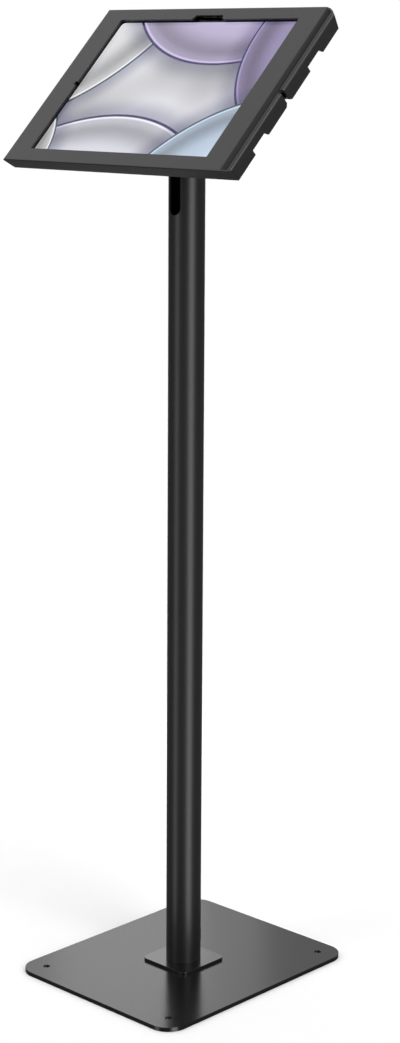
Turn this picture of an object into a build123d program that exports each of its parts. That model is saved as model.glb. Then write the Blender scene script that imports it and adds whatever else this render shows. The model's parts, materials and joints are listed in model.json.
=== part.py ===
from build123d import *
import math
import os

# Tablet security kiosk stand: a steel foot and pole, a tilting and turning neck, and a locking metal head
# round a tablet.
# Millimetres, +Z up. The origin is the middle of the foot's underside, and the screen faces -Y.
# Head pieces are drawn in the head's own frame (u to the right, v up the screen, n out of it) and then
# leaned back.

# General fits
overrun = 1.0
running_gap = 0.05
slip_gap = 0.15
seat_gap = 0.3
full_turn = 360.0
quarter_turn = 90.0

# Foot
base_width = 252.0
base_depth = 307.0
base_thickness = 5.0
base_corner = 25.0
base_edge_break = 0.6
floor_hole_diameter = 8.0
floor_hole_inset = 25.0
cable_hole_diameter = 26.0

# Pole flange and its screws
flange_side = 70.6
flange_thickness = 3.2
flange_corner = 8.0
flange_screw_spacing = 50.0
flange_screw_diameter = 6.0
flange_screw_head_diameter = 11.5
flange_screw_bite = 2.4
flange_screw_sink = 0.3
flange_screw_key = 4.0
flange_screw_key_depth = 1.8

# Pole
pole_diameter = 41.0
pole_wall = 2.0
pole_slot_width = 16.5
pole_slot_length = 113.0
exit_height = 34.0
exit_width = 15.0
exit_length = 24.0
grommet_lip = 3.0
grommet_lip_height = 1.4
grommet_wall = 1.6

# Tilt hinge inside the top of the pole
pivot_height = 990.0
rest_tilt = 45.0
pole_above_pivot = 11.0
hinge_block_below_pivot = 36.0
hinge_slot_below_pivot = 12.0
hinge_web_start = 12.0
tilt_bolt_diameter = 8.0
tilt_bolt_head_diameter = 13.0
tilt_bolt_head_height = 7.6
tilt_bolt_key = 6.0
tilt_bolt_key_depth = 4.0
tilt_nut_flats = 13.0
tilt_nut_height = 6.5
cheek_land = 3.2
friction_disc_diameter = 21.0
friction_disc_thickness = 1.2
block_screw_diameter = 4.0
block_screw_head_diameter = 8.0
block_screw_head_height = 2.2
block_screw_length = 6.0
block_screw_key = 2.5
block_screw_key_depth = 1.2
block_screw_drops = (3.0, 30.0)

# Tilt neck
neck_reach = 55.0
tongue_width = 12.0
eye_radius = 11.0
saddle_width = 24.0
saddle_height = 38.0
saddle_floor = 3.5
nut_pocket_height = 21.0
neck_flange_diameter = 64.0
neck_flange_thickness = 4.0

# Swivel
swivel_plate_side = 120.0
swivel_plate_corner = 8.0
swivel_plate_thickness = 3.0
plate_screw_spacing = 100.0
plate_screw_diameter = 4.0
plate_screw_head_diameter = 7.6
plate_screw_head_height = 2.2
plate_screw_key = 2.5
plate_screw_key_depth = 1.2
swivel_washer_diameter = 42.0
swivel_washer_thickness = 1.5
swivel_bolt_diameter = 10.0
swivel_bolt_head_diameter = 22.0
swivel_bolt_head_height = 1.3
swivel_bolt_tail = 1.2
spring_washer_diameter = 20.0
spring_washer_thickness = 1.2
swivel_nut_flats = 17.0
swivel_nut_height = 5.0
stop_pin_diameter = 4.0
stop_pin_radius = 26.0
stop_pin_angle = -135.0
swivel_travel = 90.0

# Head shell: a folded front bezel, closed at its right end by a side cover
head_shift = 4.0
head_depth = 17.0
head_draft = 4.0
sheet = 2.0
corner_cut_width = 15.0
corner_cut_height = 10.0
corner_cut_radius = 50.0
cover_band = 4.3
hem_depth = 5.0
step_width = 9.5
step_drop = 3.0
step_seam = 0.4
cover_joint_gap = 0.3
bend_relief = 3.0

# Window in the bezel
window_width = 268.4
window_height = 199.0
window_left_margin = 32.5
window_right_margin = 44.1
window_top_margin = 17.4
window_bottom_margin = 18.6
window_corner = 1.0
camera_notch_offset = 0.5
camera_notch_base = 47.0
camera_notch_top = 40.0
camera_notch_height = 6.0
sensor_notch_length = 5.0
sensor_notch_depth = 4.0

# Side cover: notches for the speakers, a tapered slit for the cable, tongues and a keeper for the lock
notch_depth = 6.2
notch_length = 24.0
notch_slant = 4.0
notch_upper_inset = 65.7
notch_lower_inset = 51.5
slit_place = -5.8
slit_width = 5.2
slit_mouth_width = 8.4
slit_mouth_depth = 3.0
tongue_length = 16.0
tongue_breadth = 20.0
tongue_thickness = 1.5
tongue_upper_inset = 35.5
tongue_lower_inset = 25.5
keeper_breadth = 14.0
keeper_start = 3.5
keeper_reach = 8.0
keeper_sheet = 1.5

# Tablet, which laps under the bezel all round
tablet_side_lap = 6.1
tablet_end_lap = 7.95
tablet_thickness = 6.1
tablet_corner = 18.0
tablet_back_round = 1.2
tablet_wall = 1.5
tablet_back_wall = 0.8
tablet_recess = 4.2
glass_inset = 0.5
glass_thickness = 0.8
display_side_margin = 3.8
display_end_margin = 5.9
display_thickness = 1.3
display_corner = 8.0
battery_left_margin = 33.0
battery_end_margin = 21.5
battery_thickness = 2.4
battery_gap = 6.0
battery_board_gap = 21.0
board_width = 34.0
board_end_margin = 19.5
board_thickness = 1.2
board_right_margin = 10.0
port_width = 9.0
port_height = 3.2
speaker_hole_diameter = 1.6
speaker_hole_pitch = 3.4
speaker_hole_count = 6
speaker_right_inset = 18.5
speaker_left_inset = 60.5
button_length = 12.0
button_height = 2.4
button_proud = 0.5
button_root = 2.2
button_travel = 0.4
button_corner = 0.9
volume_inset = 28.3
volume_pitch = 15.0
power_inset = 23.5
front_camera_diameter = 3.2
front_camera_drop = 3.3
rear_camera_diameter = 20.0
rear_camera_height = 2.0
rear_camera_inset = 16.0
rear_lens_diameter = 12.0
rear_lens_depth = 0.6

# Gasket and pads that hold the tablet
gasket_window_gap = 1.0
gasket_edge_gap = 0.5
pad_thickness = 1.2
pad_width = 60.0
pad_height = 18.0
pad_side_inset = 65.0
pad_end_inset = 22.5

# Rear tray, its spacers and screws
tray_thickness = 1.5
tray_clearance = 0.35
tray_corner = 3.0
spacer_diameter = 8.0
tray_screw_diameter = 3.0
tray_screw_head_diameter = 5.6
tray_screw_head_height = 1.6
tray_screw_bite = 6.0
tray_screw_key = 2.0
tray_screw_key_depth = 0.9
spacer_gap = 5.0
spacer_inset = 57.5
stop_tab_width = 20.0
stop_tab_inset = 45.5
camera_hole_diameter = 24.0
cable_window_width = 18.0
cable_window_height = 24.0
cable_window_gap = 1.5
cable_window_corner = 4.0
vent_count = 7
vent_pitch = 9.0
vent_width = 3.0
vent_margin = 8.0

# Lock behind the tray
lock_inset = 23.5
lock_upper_inset = 97.5
lock_barrel_diameter = 16.0
lock_flange_diameter = 17.0
lock_flange_thickness = 1.6
lock_rear = 30.0
plug_diameter = 10.0
plug_square = 6.5
keyway_width = 1.6
keyway_height = 6.5
keyway_depth = 9.0
cam_thickness = 2.0
cam_gap = 0.4
cam_hub_diameter = 13.0
cam_arm_width = 6.0
cam_hook_inner = 12.2
cam_hook_outer = 15.5
cam_hook_angle = 34.0
cam_screw_diameter = 3.0
cam_screw_head_diameter = 7.5
cam_screw_head_height = 1.2
cam_screw_length = 6.0
lock_nut_flats = 20.0
lock_nut_height = 3.0
bracket_sheet = 1.5
bracket_width = 21.0
bracket_leg_reach = 18.0
bracket_foot = 9.0
bracket_screw_diameter = 3.0
bracket_screw_head_diameter = 5.6
bracket_screw_head_height = 1.6

# Places that follow from the sizes above
pole_radius = pole_diameter / 2
pole_bore_radius = pole_radius - pole_wall
pole_foot = base_thickness + flange_thickness
pole_top = pivot_height + pole_above_pivot
tilt_radians = math.radians(rest_tilt)
head_frame = Pos(
    head_shift,
    -neck_reach * math.sin(tilt_radians),
    pivot_height + neck_reach * math.cos(tilt_radians),
) * Rot(rest_tilt, 0, 0)
swivel_u = -head_shift
head_width = window_left_margin + window_width + window_right_margin
head_height = window_top_margin + window_height + window_bottom_margin
half_width = head_width / 2
half_height = head_height / 2
draft_angle = math.degrees(math.atan2(head_draft, head_depth))
draft_slope = head_draft / head_depth
wall_offset = sheet / math.cos(math.radians(draft_angle))
window_u = -half_width + window_left_margin + window_width / 2
window_v = half_height - window_top_margin - window_height / 2
glass_front = -tablet_recess
glass_back = glass_front - glass_thickness
tablet_back = glass_front - tablet_thickness
tray_front = tablet_back - pad_thickness
tray_back = tray_front - tray_thickness
plate_back = tray_back - swivel_plate_thickness
neck_front = plate_back - swivel_washer_thickness
neck_flange_back = neck_front - neck_flange_thickness
nut_pocket_depth = spring_washer_thickness + swivel_nut_height + swivel_bolt_tail + seat_gap
nut_pocket_floor = neck_flange_back - nut_pocket_depth
saddle_back = nut_pocket_floor - saddle_floor
band_start = half_width - cover_band
step_start = band_start - step_seam - step_width
cavity_wall_u = half_width - sheet
tray_half_height = half_height - wall_offset + tray_back * draft_slope - tray_clearance
tray_left = -half_width + wall_offset - tray_back * draft_slope + tray_clearance
tray_right = band_start - seat_gap
tablet_width = window_width + 2 * tablet_side_lap
tablet_height = window_height + 2 * tablet_end_lap
tablet_left = window_u - tablet_width / 2
tablet_right = window_u + tablet_width / 2
tablet_top = window_v + tablet_height / 2
tablet_bottom = window_v - tablet_height / 2
button_n = (glass_back + tablet_back) / 2
lock_u = half_width - lock_inset
lock_v = half_height - lock_upper_inset
cam_front = tray_back - cam_gap
cam_back = cam_front - cam_thickness
lock_flange_front = cam_back - seat_gap - seat_gap
bracket_front = lock_flange_front - lock_flange_thickness
bracket_back = bracket_front - bracket_sheet


def between(low, high):
    """A box given by two opposite corners."""
    size = [b - a for a, b in zip(low, high)]
    middle = [(a + b) / 2 for a, b in zip(low, high)]
    return Pos(*middle) * Box(*size)


def drop(outline, top, depth):
    """Extrude an outline from height top towards the back of the head, or down."""
    return extrude(Pos(0, 0, top) * outline, amount=-depth)


def drill(diameter, places, top, depth):
    """Round cutters, or pins, at places, from height top down."""
    tools = [Pos(x, y, top - depth / 2) * Cylinder(diameter / 2, depth) for x, y in places]
    return Part() + tools


def corners(width, height, middle=(0, 0)):
    """The four corners of a rectangle."""
    return [(middle[0] + sx * width / 2, middle[1] + sy * height / 2) for sx in (-1, 1) for sy in (-1, 1)]


def hexagon(flats):
    """A hexagon given by its width across flats."""
    return RegularPolygon(flats / 2, 6, major_radius=False)


def screw(diameter, length, head_diameter, head_height, key, key_depth):
    """A button-head screw: the head stands on z = 0 and the shank hangs below."""
    head = Pos(0, 0, head_height / 2) * Cylinder(head_diameter / 2, head_height)
    head = fillet(head.edges().group_by(Axis.Z)[-1], head_height / 2)
    shank = Pos(0, 0, -length / 2) * Cylinder(diameter / 2, length)
    return head + shank - drop(hexagon(key), head_height, key_depth)


def flat_screw(diameter, length, head_diameter, key, key_depth):
    """A countersunk screw: its flat face is at z = 0 and it points down."""
    head_height = (head_diameter - diameter) / 2
    cone = Pos(0, 0, -head_height / 2) * Cone(diameter / 2, head_diameter / 2, head_height)
    shank = Pos(0, 0, -length / 2) * Cylinder(diameter / 2, length)
    return cone + shank - drop(hexagon(key), 0, key_depth)


def flange_screw_places():
    """Where the pole's flange is screwed to the foot."""
    return corners(flange_screw_spacing, flange_screw_spacing)


def make_base_plate():
    """The foot, with its floor holes, the cable hole and countersinks on the underside."""
    plate = drop(RectangleRounded(base_width, base_depth, base_corner), base_thickness, base_thickness)
    plate = chamfer(plate.edges().group_by(Axis.Z)[-1], base_edge_break)
    span_x = base_width - 2 * floor_hole_inset
    span_y = base_depth - 2 * floor_hole_inset
    depth = base_thickness + 2 * overrun
    holes = drill(floor_hole_diameter, corners(span_x, span_y), base_thickness + overrun, depth)
    holes += drill(cable_hole_diameter, [(0, 0)], base_thickness + overrun, base_thickness + 2 * overrun)
    bore = flange_screw_diameter + 2 * slip_gap
    holes += drill(bore, flange_screw_places(), base_thickness + overrun, base_thickness + 2 * overrun)
    mouth = flange_screw_head_diameter + 2 * slip_gap
    sink_height = (mouth - bore) / 2
    for x, y in flange_screw_places():
        holes += Pos(x, y, flange_screw_sink + sink_height / 2) * Cone(mouth / 2, bore / 2, sink_height)
        rim = Cylinder(mouth / 2, flange_screw_sink + overrun)
        holes += Pos(x, y, flange_screw_sink / 2 - overrun / 2) * rim
    return plate - holes


def make_pole_flange():
    """The small plate that the pole is welded to, tapped from below."""
    plate = drop(RectangleRounded(flange_side, flange_side, flange_corner), pole_foot, flange_thickness)
    plate = chamfer(plate.edges().group_by(Axis.Z)[-1], base_edge_break)
    plate -= drill(cable_hole_diameter, [(0, 0)], pole_foot + overrun, flange_thickness + 2 * overrun)
    tapped = flange_screw_diameter + 2 * slip_gap
    depth = flange_screw_bite + slip_gap
    return plate - drill(tapped, flange_screw_places(), base_thickness + depth, depth + overrun)


def make_flange_screws():
    """Four countersunk screws, heads just inside the underside of the foot."""
    length = base_thickness - flange_screw_sink + flange_screw_bite
    one = flat_screw(
        flange_screw_diameter, length, flange_screw_head_diameter, flange_screw_key, flange_screw_key_depth
    )
    return Part() + [Pos(x, y, flange_screw_sink) * Rot(180, 0, 0) * one for x, y in flange_screw_places()]


def rear_outline(width, length):
    """An upright rounded slot on the back of the pole, extruded through its wall."""
    outline = Rot(0, 0, quarter_turn) * SlotOverall(length, width)
    cutter = extrude(Rot(quarter_turn, 0, 0) * outline, pole_radius / 2, both=True)
    return Pos(0, pole_radius, exit_height) * cutter


def pole_shell(inner, outer):
    """A ring round the pole's axis, tall enough for the rear exit."""
    height = exit_length + 4 * grommet_lip
    return Pos(0, 0, exit_height) * (Cylinder(outer, height) - Cylinder(inner, height + overrun))


def make_pole_tube():
    """The pole: a tube with an open slot at the top, a cable exit at the foot and holes for the hinge."""
    length = pole_top - pole_foot
    middle = pole_foot + length / 2
    tube = Pos(0, 0, middle) * (Cylinder(pole_radius, length) - Cylinder(pole_bore_radius, length + overrun))
    slot_low = pole_top - pole_slot_length + pole_slot_width / 2
    slot = between(
        (-pole_slot_width / 2, -pole_radius - overrun, slot_low),
        (pole_slot_width / 2, 0, pole_top + overrun),
    )
    slot_end = Rot(quarter_turn, 0, 0) * Cylinder(pole_slot_width / 2, pole_radius + overrun)
    slot += Pos(0, -(pole_radius + overrun) / 2, slot_low) * slot_end
    tube -= slot
    tube -= rear_outline(exit_width, exit_length)
    side_bore = tilt_bolt_head_diameter + 4 * slip_gap
    cross_bore = Rot(0, quarter_turn, 0) * Cylinder(side_bore / 2, pole_diameter + overrun)
    tube -= Pos(0, 0, pivot_height) * cross_bore
    for fall in block_screw_drops:
        hole = Rot(quarter_turn, 0, 0) * Cylinder(block_screw_diameter / 2 + slip_gap, pole_radius)
        tube -= Pos(0, pole_radius, pivot_height - fall) * hole
    return tube


def make_cable_grommet():
    """A rubber edging that lines the cable exit at the foot of the pole."""
    body_width = exit_width - 2 * slip_gap
    body_length = exit_length - 2 * slip_gap
    lip = rear_outline(body_width + 2 * grommet_lip, body_length + 2 * grommet_lip)
    lip &= pole_shell(pole_radius + running_gap, pole_radius + grommet_lip_height)
    body = rear_outline(body_width, body_length)
    body &= pole_shell(pole_bore_radius - grommet_wall, pole_radius + grommet_lip_height)
    return lip + body - rear_outline(body_width - 2 * grommet_wall, body_length - 2 * grommet_wall)


def hinge_slot_half():
    """Half the width of the slot that the neck and its discs fill."""
    return tongue_width / 2 + friction_disc_thickness


def make_hinge_block():
    """The forked block inside the pole's top that carries the tilt bolt."""
    height = hinge_block_below_pivot + pole_above_pivot
    block = Pos(0, 0, pole_top - height / 2) * Cylinder(pole_bore_radius - slip_gap, height)
    half = hinge_slot_half()
    low = pivot_height - hinge_slot_below_pivot
    block -= between((-half, -pole_radius, low), (half, hinge_web_start, pole_top + overrun))
    along_x = Pos(0, 0, pivot_height) * Rot(0, quarter_turn, 0)
    block -= along_x * Cylinder(tilt_bolt_diameter / 2 + slip_gap, pole_diameter)
    land = half + cheek_land
    depth = pole_radius - land
    counterbore = Cylinder(tilt_bolt_head_diameter / 2 + slip_gap, depth)
    block -= Pos(land + depth / 2, 0, pivot_height) * Rot(0, quarter_turn, 0) * counterbore
    pocket = extrude(hexagon(tilt_nut_flats + 2 * slip_gap), depth)
    block -= Pos(-land, 0, pivot_height) * Rot(0, -quarter_turn, 0) * pocket
    for fall in block_screw_drops:
        bore = Cylinder(block_screw_diameter / 2 + running_gap, 2 * block_screw_length)
        hole = Rot(quarter_turn, 0, 0) * bore
        block -= Pos(0, pole_radius, pivot_height - fall) * hole
    return block


def make_block_screws():
    """Two screws from the back of the pole into the hinge block."""
    length = block_screw_length
    one = screw(
        block_screw_diameter, length, block_screw_head_diameter, block_screw_head_height,
        block_screw_key, block_screw_key_depth,
    )
    places = [Pos(0, pole_radius, pivot_height - fall) for fall in block_screw_drops]
    return Part() + [place * Rot(-quarter_turn, 0, 0) * one for place in places]


def make_tilt_bolt():
    """The cross bolt that the head tilts on."""
    start = hinge_slot_half() + cheek_land
    end = -start - tilt_nut_height
    head = Cylinder(tilt_bolt_head_diameter / 2, tilt_bolt_head_height)
    head = Pos(0, 0, start + tilt_bolt_head_height / 2) * head
    shank = Pos(0, 0, (start + end) / 2) * Cylinder(tilt_bolt_diameter / 2, start - end)
    bolt = head + shank - drop(hexagon(tilt_bolt_key), start + tilt_bolt_head_height, tilt_bolt_key_depth)
    return Pos(0, 0, pivot_height) * Rot(0, quarter_turn, 0) * bolt


def make_tilt_nut():
    """The hexagon nut held in the far cheek of the hinge block."""
    nut = extrude(hexagon(tilt_nut_flats), tilt_nut_height)
    nut -= Cylinder(tilt_bolt_diameter / 2 + running_gap, 4 * tilt_nut_height)
    return Pos(-hinge_slot_half() - cheek_land, 0, pivot_height) * Rot(0, -quarter_turn, 0) * nut


def make_friction_discs():
    """The two discs between the neck and the hinge block."""
    disc = Cylinder(friction_disc_diameter / 2, friction_disc_thickness)
    disc -= Cylinder(tilt_bolt_diameter / 2 + running_gap, 2 * friction_disc_thickness)
    place = tongue_width / 2 + friction_disc_thickness / 2
    return Part() + [Pos(side * place, 0, pivot_height) * Rot(0, quarter_turn, 0) * disc for side in (-1, 1)]


def make_tilt_neck():
    """The neck: an eye in the pole, a saddle round the swivel nut, and a round flange with the stop slot."""
    flange = drop(Circle(neck_flange_diameter / 2), neck_front, neck_flange_thickness)
    saddle = between(
        (-saddle_width / 2, -saddle_height / 2, saddle_back),
        (saddle_width / 2, saddle_height / 2, neck_flange_back),
    )
    saddle = chamfer(saddle.edges().filter_by(Axis.X).group_by(Axis.Z)[0], saddle_floor)
    tongue = between(
        (-tongue_width / 2, -eye_radius, -neck_reach), (tongue_width / 2, eye_radius, saddle_back)
    )
    eye = Pos(0, 0, -neck_reach) * Rot(0, quarter_turn, 0) * Cylinder(eye_radius, tongue_width)
    neck = flange + saddle + tongue + eye
    neck -= between(
        (-saddle_width, -nut_pocket_height / 2, nut_pocket_floor),
        (saddle_width, nut_pocket_height / 2, neck_flange_back),
    )
    bolt_bore = Rot(0, quarter_turn, 0) * Cylinder(tilt_bolt_diameter / 2 + running_gap, 2 * tongue_width)
    neck -= Pos(0, 0, -neck_reach) * bolt_bore
    depth = neck_flange_thickness + 2 * overrun
    neck -= drill(swivel_bolt_diameter + 2 * running_gap, [(0, 0)], neck_front + overrun, depth)
    arc = CenterArc((0, 0), stop_pin_radius, stop_pin_angle, swivel_travel)
    stop_slot = SlotArc(arc, stop_pin_diameter + 2 * seat_gap)
    neck -= drop(stop_slot, neck_front + overrun, neck_flange_thickness + 2 * overrun)
    return Pos(swivel_u, 0, 0) * neck


def make_swivel_washer():
    """The plastic washer between the neck and the swivel plate."""
    ring = Circle(swivel_washer_diameter / 2) - Circle(swivel_bolt_diameter / 2 + slip_gap)
    return Pos(swivel_u, 0, 0) * drop(ring, plate_back, swivel_washer_thickness)


def plate_screw_places():
    """The 100 mm square of screws that carries the tray."""
    return corners(plate_screw_spacing, plate_screw_spacing)


def stop_pin_place():
    """The stop pin's centre at rest, round the swivel axis."""
    angle = math.radians(stop_pin_angle)
    return [(stop_pin_radius * math.cos(angle), stop_pin_radius * math.sin(angle))]


def make_swivel_plate():
    """The square plate that turns with the head."""
    outline = RectangleRounded(swivel_plate_side, swivel_plate_side, swivel_plate_corner)
    plate = drop(outline, tray_back, swivel_plate_thickness)
    depth = swivel_plate_thickness + 2 * overrun
    plate -= drill(plate_screw_diameter + 2 * slip_gap, plate_screw_places(), tray_back + overrun, depth)
    plate -= drill(swivel_bolt_diameter + 2 * running_gap, [(0, 0)], tray_back + overrun, depth)
    plate -= drill(stop_pin_diameter + 2 * running_gap, stop_pin_place(), tray_back + overrun, depth)
    return Pos(swivel_u, 0, 0) * plate


def make_stop_pin():
    """The pin that stops the swivel at landscape and portrait."""
    length = tray_back - neck_flange_back - seat_gap
    return Pos(swivel_u, 0, 0) * drill(stop_pin_diameter, stop_pin_place(), tray_back, length)


def make_swivel_bolt():
    """The thin-headed bolt that the swivel turns on."""
    head_top = tray_back + swivel_bolt_head_height
    head = drop(Circle(swivel_bolt_head_diameter / 2), head_top, swivel_bolt_head_height)
    length = tray_back - neck_flange_back + spring_washer_thickness + swivel_nut_height + swivel_bolt_tail
    return Pos(swivel_u, 0, 0) * (head + drop(Circle(swivel_bolt_diameter / 2), tray_back, length))


def make_spring_washer():
    """The sprung washer under the swivel nut."""
    ring = Circle(spring_washer_diameter / 2) - Circle(swivel_bolt_diameter / 2 + running_gap)
    return Pos(swivel_u, 0, 0) * drop(ring, neck_flange_back, spring_washer_thickness)


def make_swivel_nut():
    """The nut that sets the swivel's friction."""
    nut = hexagon(swivel_nut_flats) - Circle(swivel_bolt_diameter / 2 + running_gap)
    return Pos(swivel_u, 0, 0) * drop(nut, neck_flange_back - spring_washer_thickness, swivel_nut_height)


def make_plate_screws():
    """Four screws that hold the tray to the swivel plate."""
    length = swivel_plate_thickness + tray_thickness
    one = screw(
        plate_screw_diameter, length, plate_screw_head_diameter, plate_screw_head_height,
        plate_screw_key, plate_screw_key_depth,
    )
    places = [Pos(swivel_u + x, y, plate_back) for x, y in plate_screw_places()]
    return Part() + [place * Rot(180, 0, 0) * one for place in places]


def shell_outline(lift=0.0):
    """The head's outline with its cut corner, run on past the right end; lift raises the bottom edge."""
    start = (half_width - corner_cut_width, half_height)
    end = (half_width, half_height - corner_cut_height)
    arc = RadiusArc(start, end, corner_cut_radius)
    along = arc % 1
    run = head_draft * 4
    tail = (end[0] + run, end[1] + run * along.Y / along.X)
    low = -half_height + lift
    rest = Polyline(end, tail, (tail[0], low), (-half_width, low), (-half_width, half_height), start)
    return make_face([arc, rest])


def shell_solid(inset=0.0, lift=0.0, top=0.0):
    """The drafted head volume, cut off at the right end; inset and top give the space inside it."""
    outline = shell_outline(lift)
    if inset + top != 0:
        outline = offset(outline, amount=-(inset - top * draft_slope), kind=Kind.INTERSECTION)
    volume = extrude(Pos(0, 0, top) * outline, amount=head_depth + top, dir=(0, 0, -1), taper=draft_angle)
    return volume


def right_of(u, far=0.0):
    """Everything to the right of u, up to the head's right end or past it."""
    return between((u, -head_height, -head_depth - overrun), (half_width + far, head_height, overrun))


def make_window():
    """The screen window with its camera notch and sensor notch."""
    window = Pos(window_u, window_v) * RectangleRounded(window_width, window_height, window_corner)
    top = window_v + window_height / 2
    notch_u = window_u + camera_notch_offset
    window += Polygon(
        (notch_u + camera_notch_base / 2, top - overrun),
        (notch_u + camera_notch_base / 2, top),
        (notch_u + camera_notch_top / 2, top + camera_notch_height),
        (notch_u - camera_notch_top / 2, top + camera_notch_height),
        (notch_u - camera_notch_base / 2, top),
        (notch_u - camera_notch_base / 2, top - overrun),
        align=None,
    )
    left = window_u - window_width / 2
    notch = Rectangle(2 * sensor_notch_depth, sensor_notch_length)
    return window + Pos(left, window_v) * notch


def make_step_plate():
    """The sloping right edge of the bezel, sunk below its face."""
    end = step_start + step_width
    section = Polygon(
        (step_start, 0), (step_start, -sheet), (end, -sheet - step_drop), (end, -step_drop), align=None
    )
    upright = Pos(0, half_height, 0) * Rot(quarter_turn, 0, 0)
    return upright * extrude(section, head_height)


def make_front_bezel():
    """The folded front: a face with the window, three drafted walls and a stepped right edge."""
    shell = shell_solid() & between(
        (-half_width, -head_height, -head_depth - overrun), (half_width, head_height, overrun)
    )
    bezel = shell - shell_solid(wall_offset, top=-sheet)
    step_end = step_start + step_width
    under_step = between((step_start, -head_height, -sheet), (step_end, head_height, 0))
    bezel -= under_step & shell_solid(wall_offset)
    bezel += make_step_plate() & shell
    bezel -= shell_solid(wall_offset) & right_of(step_end, overrun)
    bezel -= between((step_end, 0, -head_depth - overrun), (half_width + overrun, head_height, overrun))
    bezel -= drop(make_window(), overrun, sheet + 2 * overrun)
    return bezel


def slit_shape():
    """The cable slit as seen from the side, its rear corners cut away."""
    back = -head_depth - overrun
    slit = Pos(slit_place, back / 2) * Rectangle(slit_width, 4 * head_depth)
    widen = slit_mouth_width / slit_mouth_depth
    return slit + Polygon(
        (slit_place - slit_width / 2, -head_depth + slit_mouth_depth),
        (slit_place - slit_mouth_width / 2 - widen, back),
        (slit_place + slit_mouth_width / 2 + widen, back),
        (slit_place + slit_width / 2, -head_depth + slit_mouth_depth),
        align=None,
    )


def notch_shape(place):
    """A speaker notch as seen from the side, its upper end slanted."""
    low = place - notch_length / 2
    high = place + notch_length / 2
    slant = notch_slant * (notch_depth + overrun) / notch_depth
    return Polygon(
        (low, notch_depth - head_depth),
        (low, -head_depth - overrun),
        (high + slant, -head_depth - overrun),
        (high, notch_depth - head_depth),
        align=None,
    )


def side_cut(outline):
    """Push a side view, drawn in v and n, through the cover from its right."""
    through = cover_band + 2 * overrun
    sketch_plane = Plane(origin=(band_start - overrun, 0, 0), x_dir=(0, 1, 0), z_dir=(1, 0, 0))
    return extrude(sketch_plane * outline, amount=through, dir=(1, 0, 0))


def make_side_cover():
    """The locking right end: a hemmed edge, a notched wall, two tongues and the lock's keeper."""
    lift = wall_offset + cover_joint_gap
    cover = shell_solid(lift=lift) & right_of(band_start)
    hollow = shell_solid(wall_offset, lift=lift) & between(
        (band_start - overrun, -head_height, -head_depth - overrun), (cavity_wall_u, head_height, -hem_depth)
    )
    cover -= hollow
    cover -= side_cut(slit_shape())
    for place in (half_height - notch_upper_inset, notch_lower_inset - half_height):
        cover -= side_cut(notch_shape(place))
    tongue_top = -sheet - step_drop - cover_joint_gap
    for place in (half_height - tongue_upper_inset, tongue_lower_inset - half_height):
        cover += between(
            (cavity_wall_u - tongue_length, place - tongue_breadth / 2, tongue_top - tongue_thickness),
            (cavity_wall_u, place + tongue_breadth / 2, tongue_top),
        )
    keeper_low = lock_v + keeper_start
    keeper_high = keeper_low + keeper_breadth
    lip_u = lock_u + keeper_reach
    web_front = cam_back - seat_gap
    cover += between((lip_u, keeper_low, web_front - keeper_sheet), (cavity_wall_u, keeper_high, web_front))
    cover += between((lip_u, keeper_low, web_front), (lip_u + keeper_sheet, keeper_high, cam_front))
    return cover


def spacer_places():
    """Two spacers each side of the tablet."""
    reach = spacer_gap + spacer_diameter / 2
    return corners(tablet_width + 2 * reach, head_height - 2 * spacer_inset, (window_u, 0))


def make_spacers():
    """Round spacers between the bezel and the tray."""
    depth = -tray_front - sheet
    spacers = drill(spacer_diameter, spacer_places(), -sheet, depth)
    floor = tray_front + tray_screw_bite + slip_gap
    return spacers - drill(tray_screw_diameter + 2 * running_gap, spacer_places(), floor, depth)


def make_tray_screws():
    """Screws from the back of the tray into the spacers."""
    one = screw(
        tray_screw_diameter,
        tray_thickness + tray_screw_bite,
        tray_screw_head_diameter,
        tray_screw_head_height,
        tray_screw_key, tray_screw_key_depth,
    )
    return Part() + [Pos(u, v, tray_back) * Rot(180, 0, 0) * one for u, v in spacer_places()]


def bracket_screw_places():
    """The two screws of the lock bracket's feet."""
    reach = bracket_leg_reach + bracket_sheet + bracket_foot / 2
    return [(lock_u, lock_v + side * reach) for side in (-1, 1)]


def bracket_low():
    """The lower end of the lock bracket."""
    return lock_v - bracket_leg_reach - bracket_sheet - bracket_foot


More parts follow.
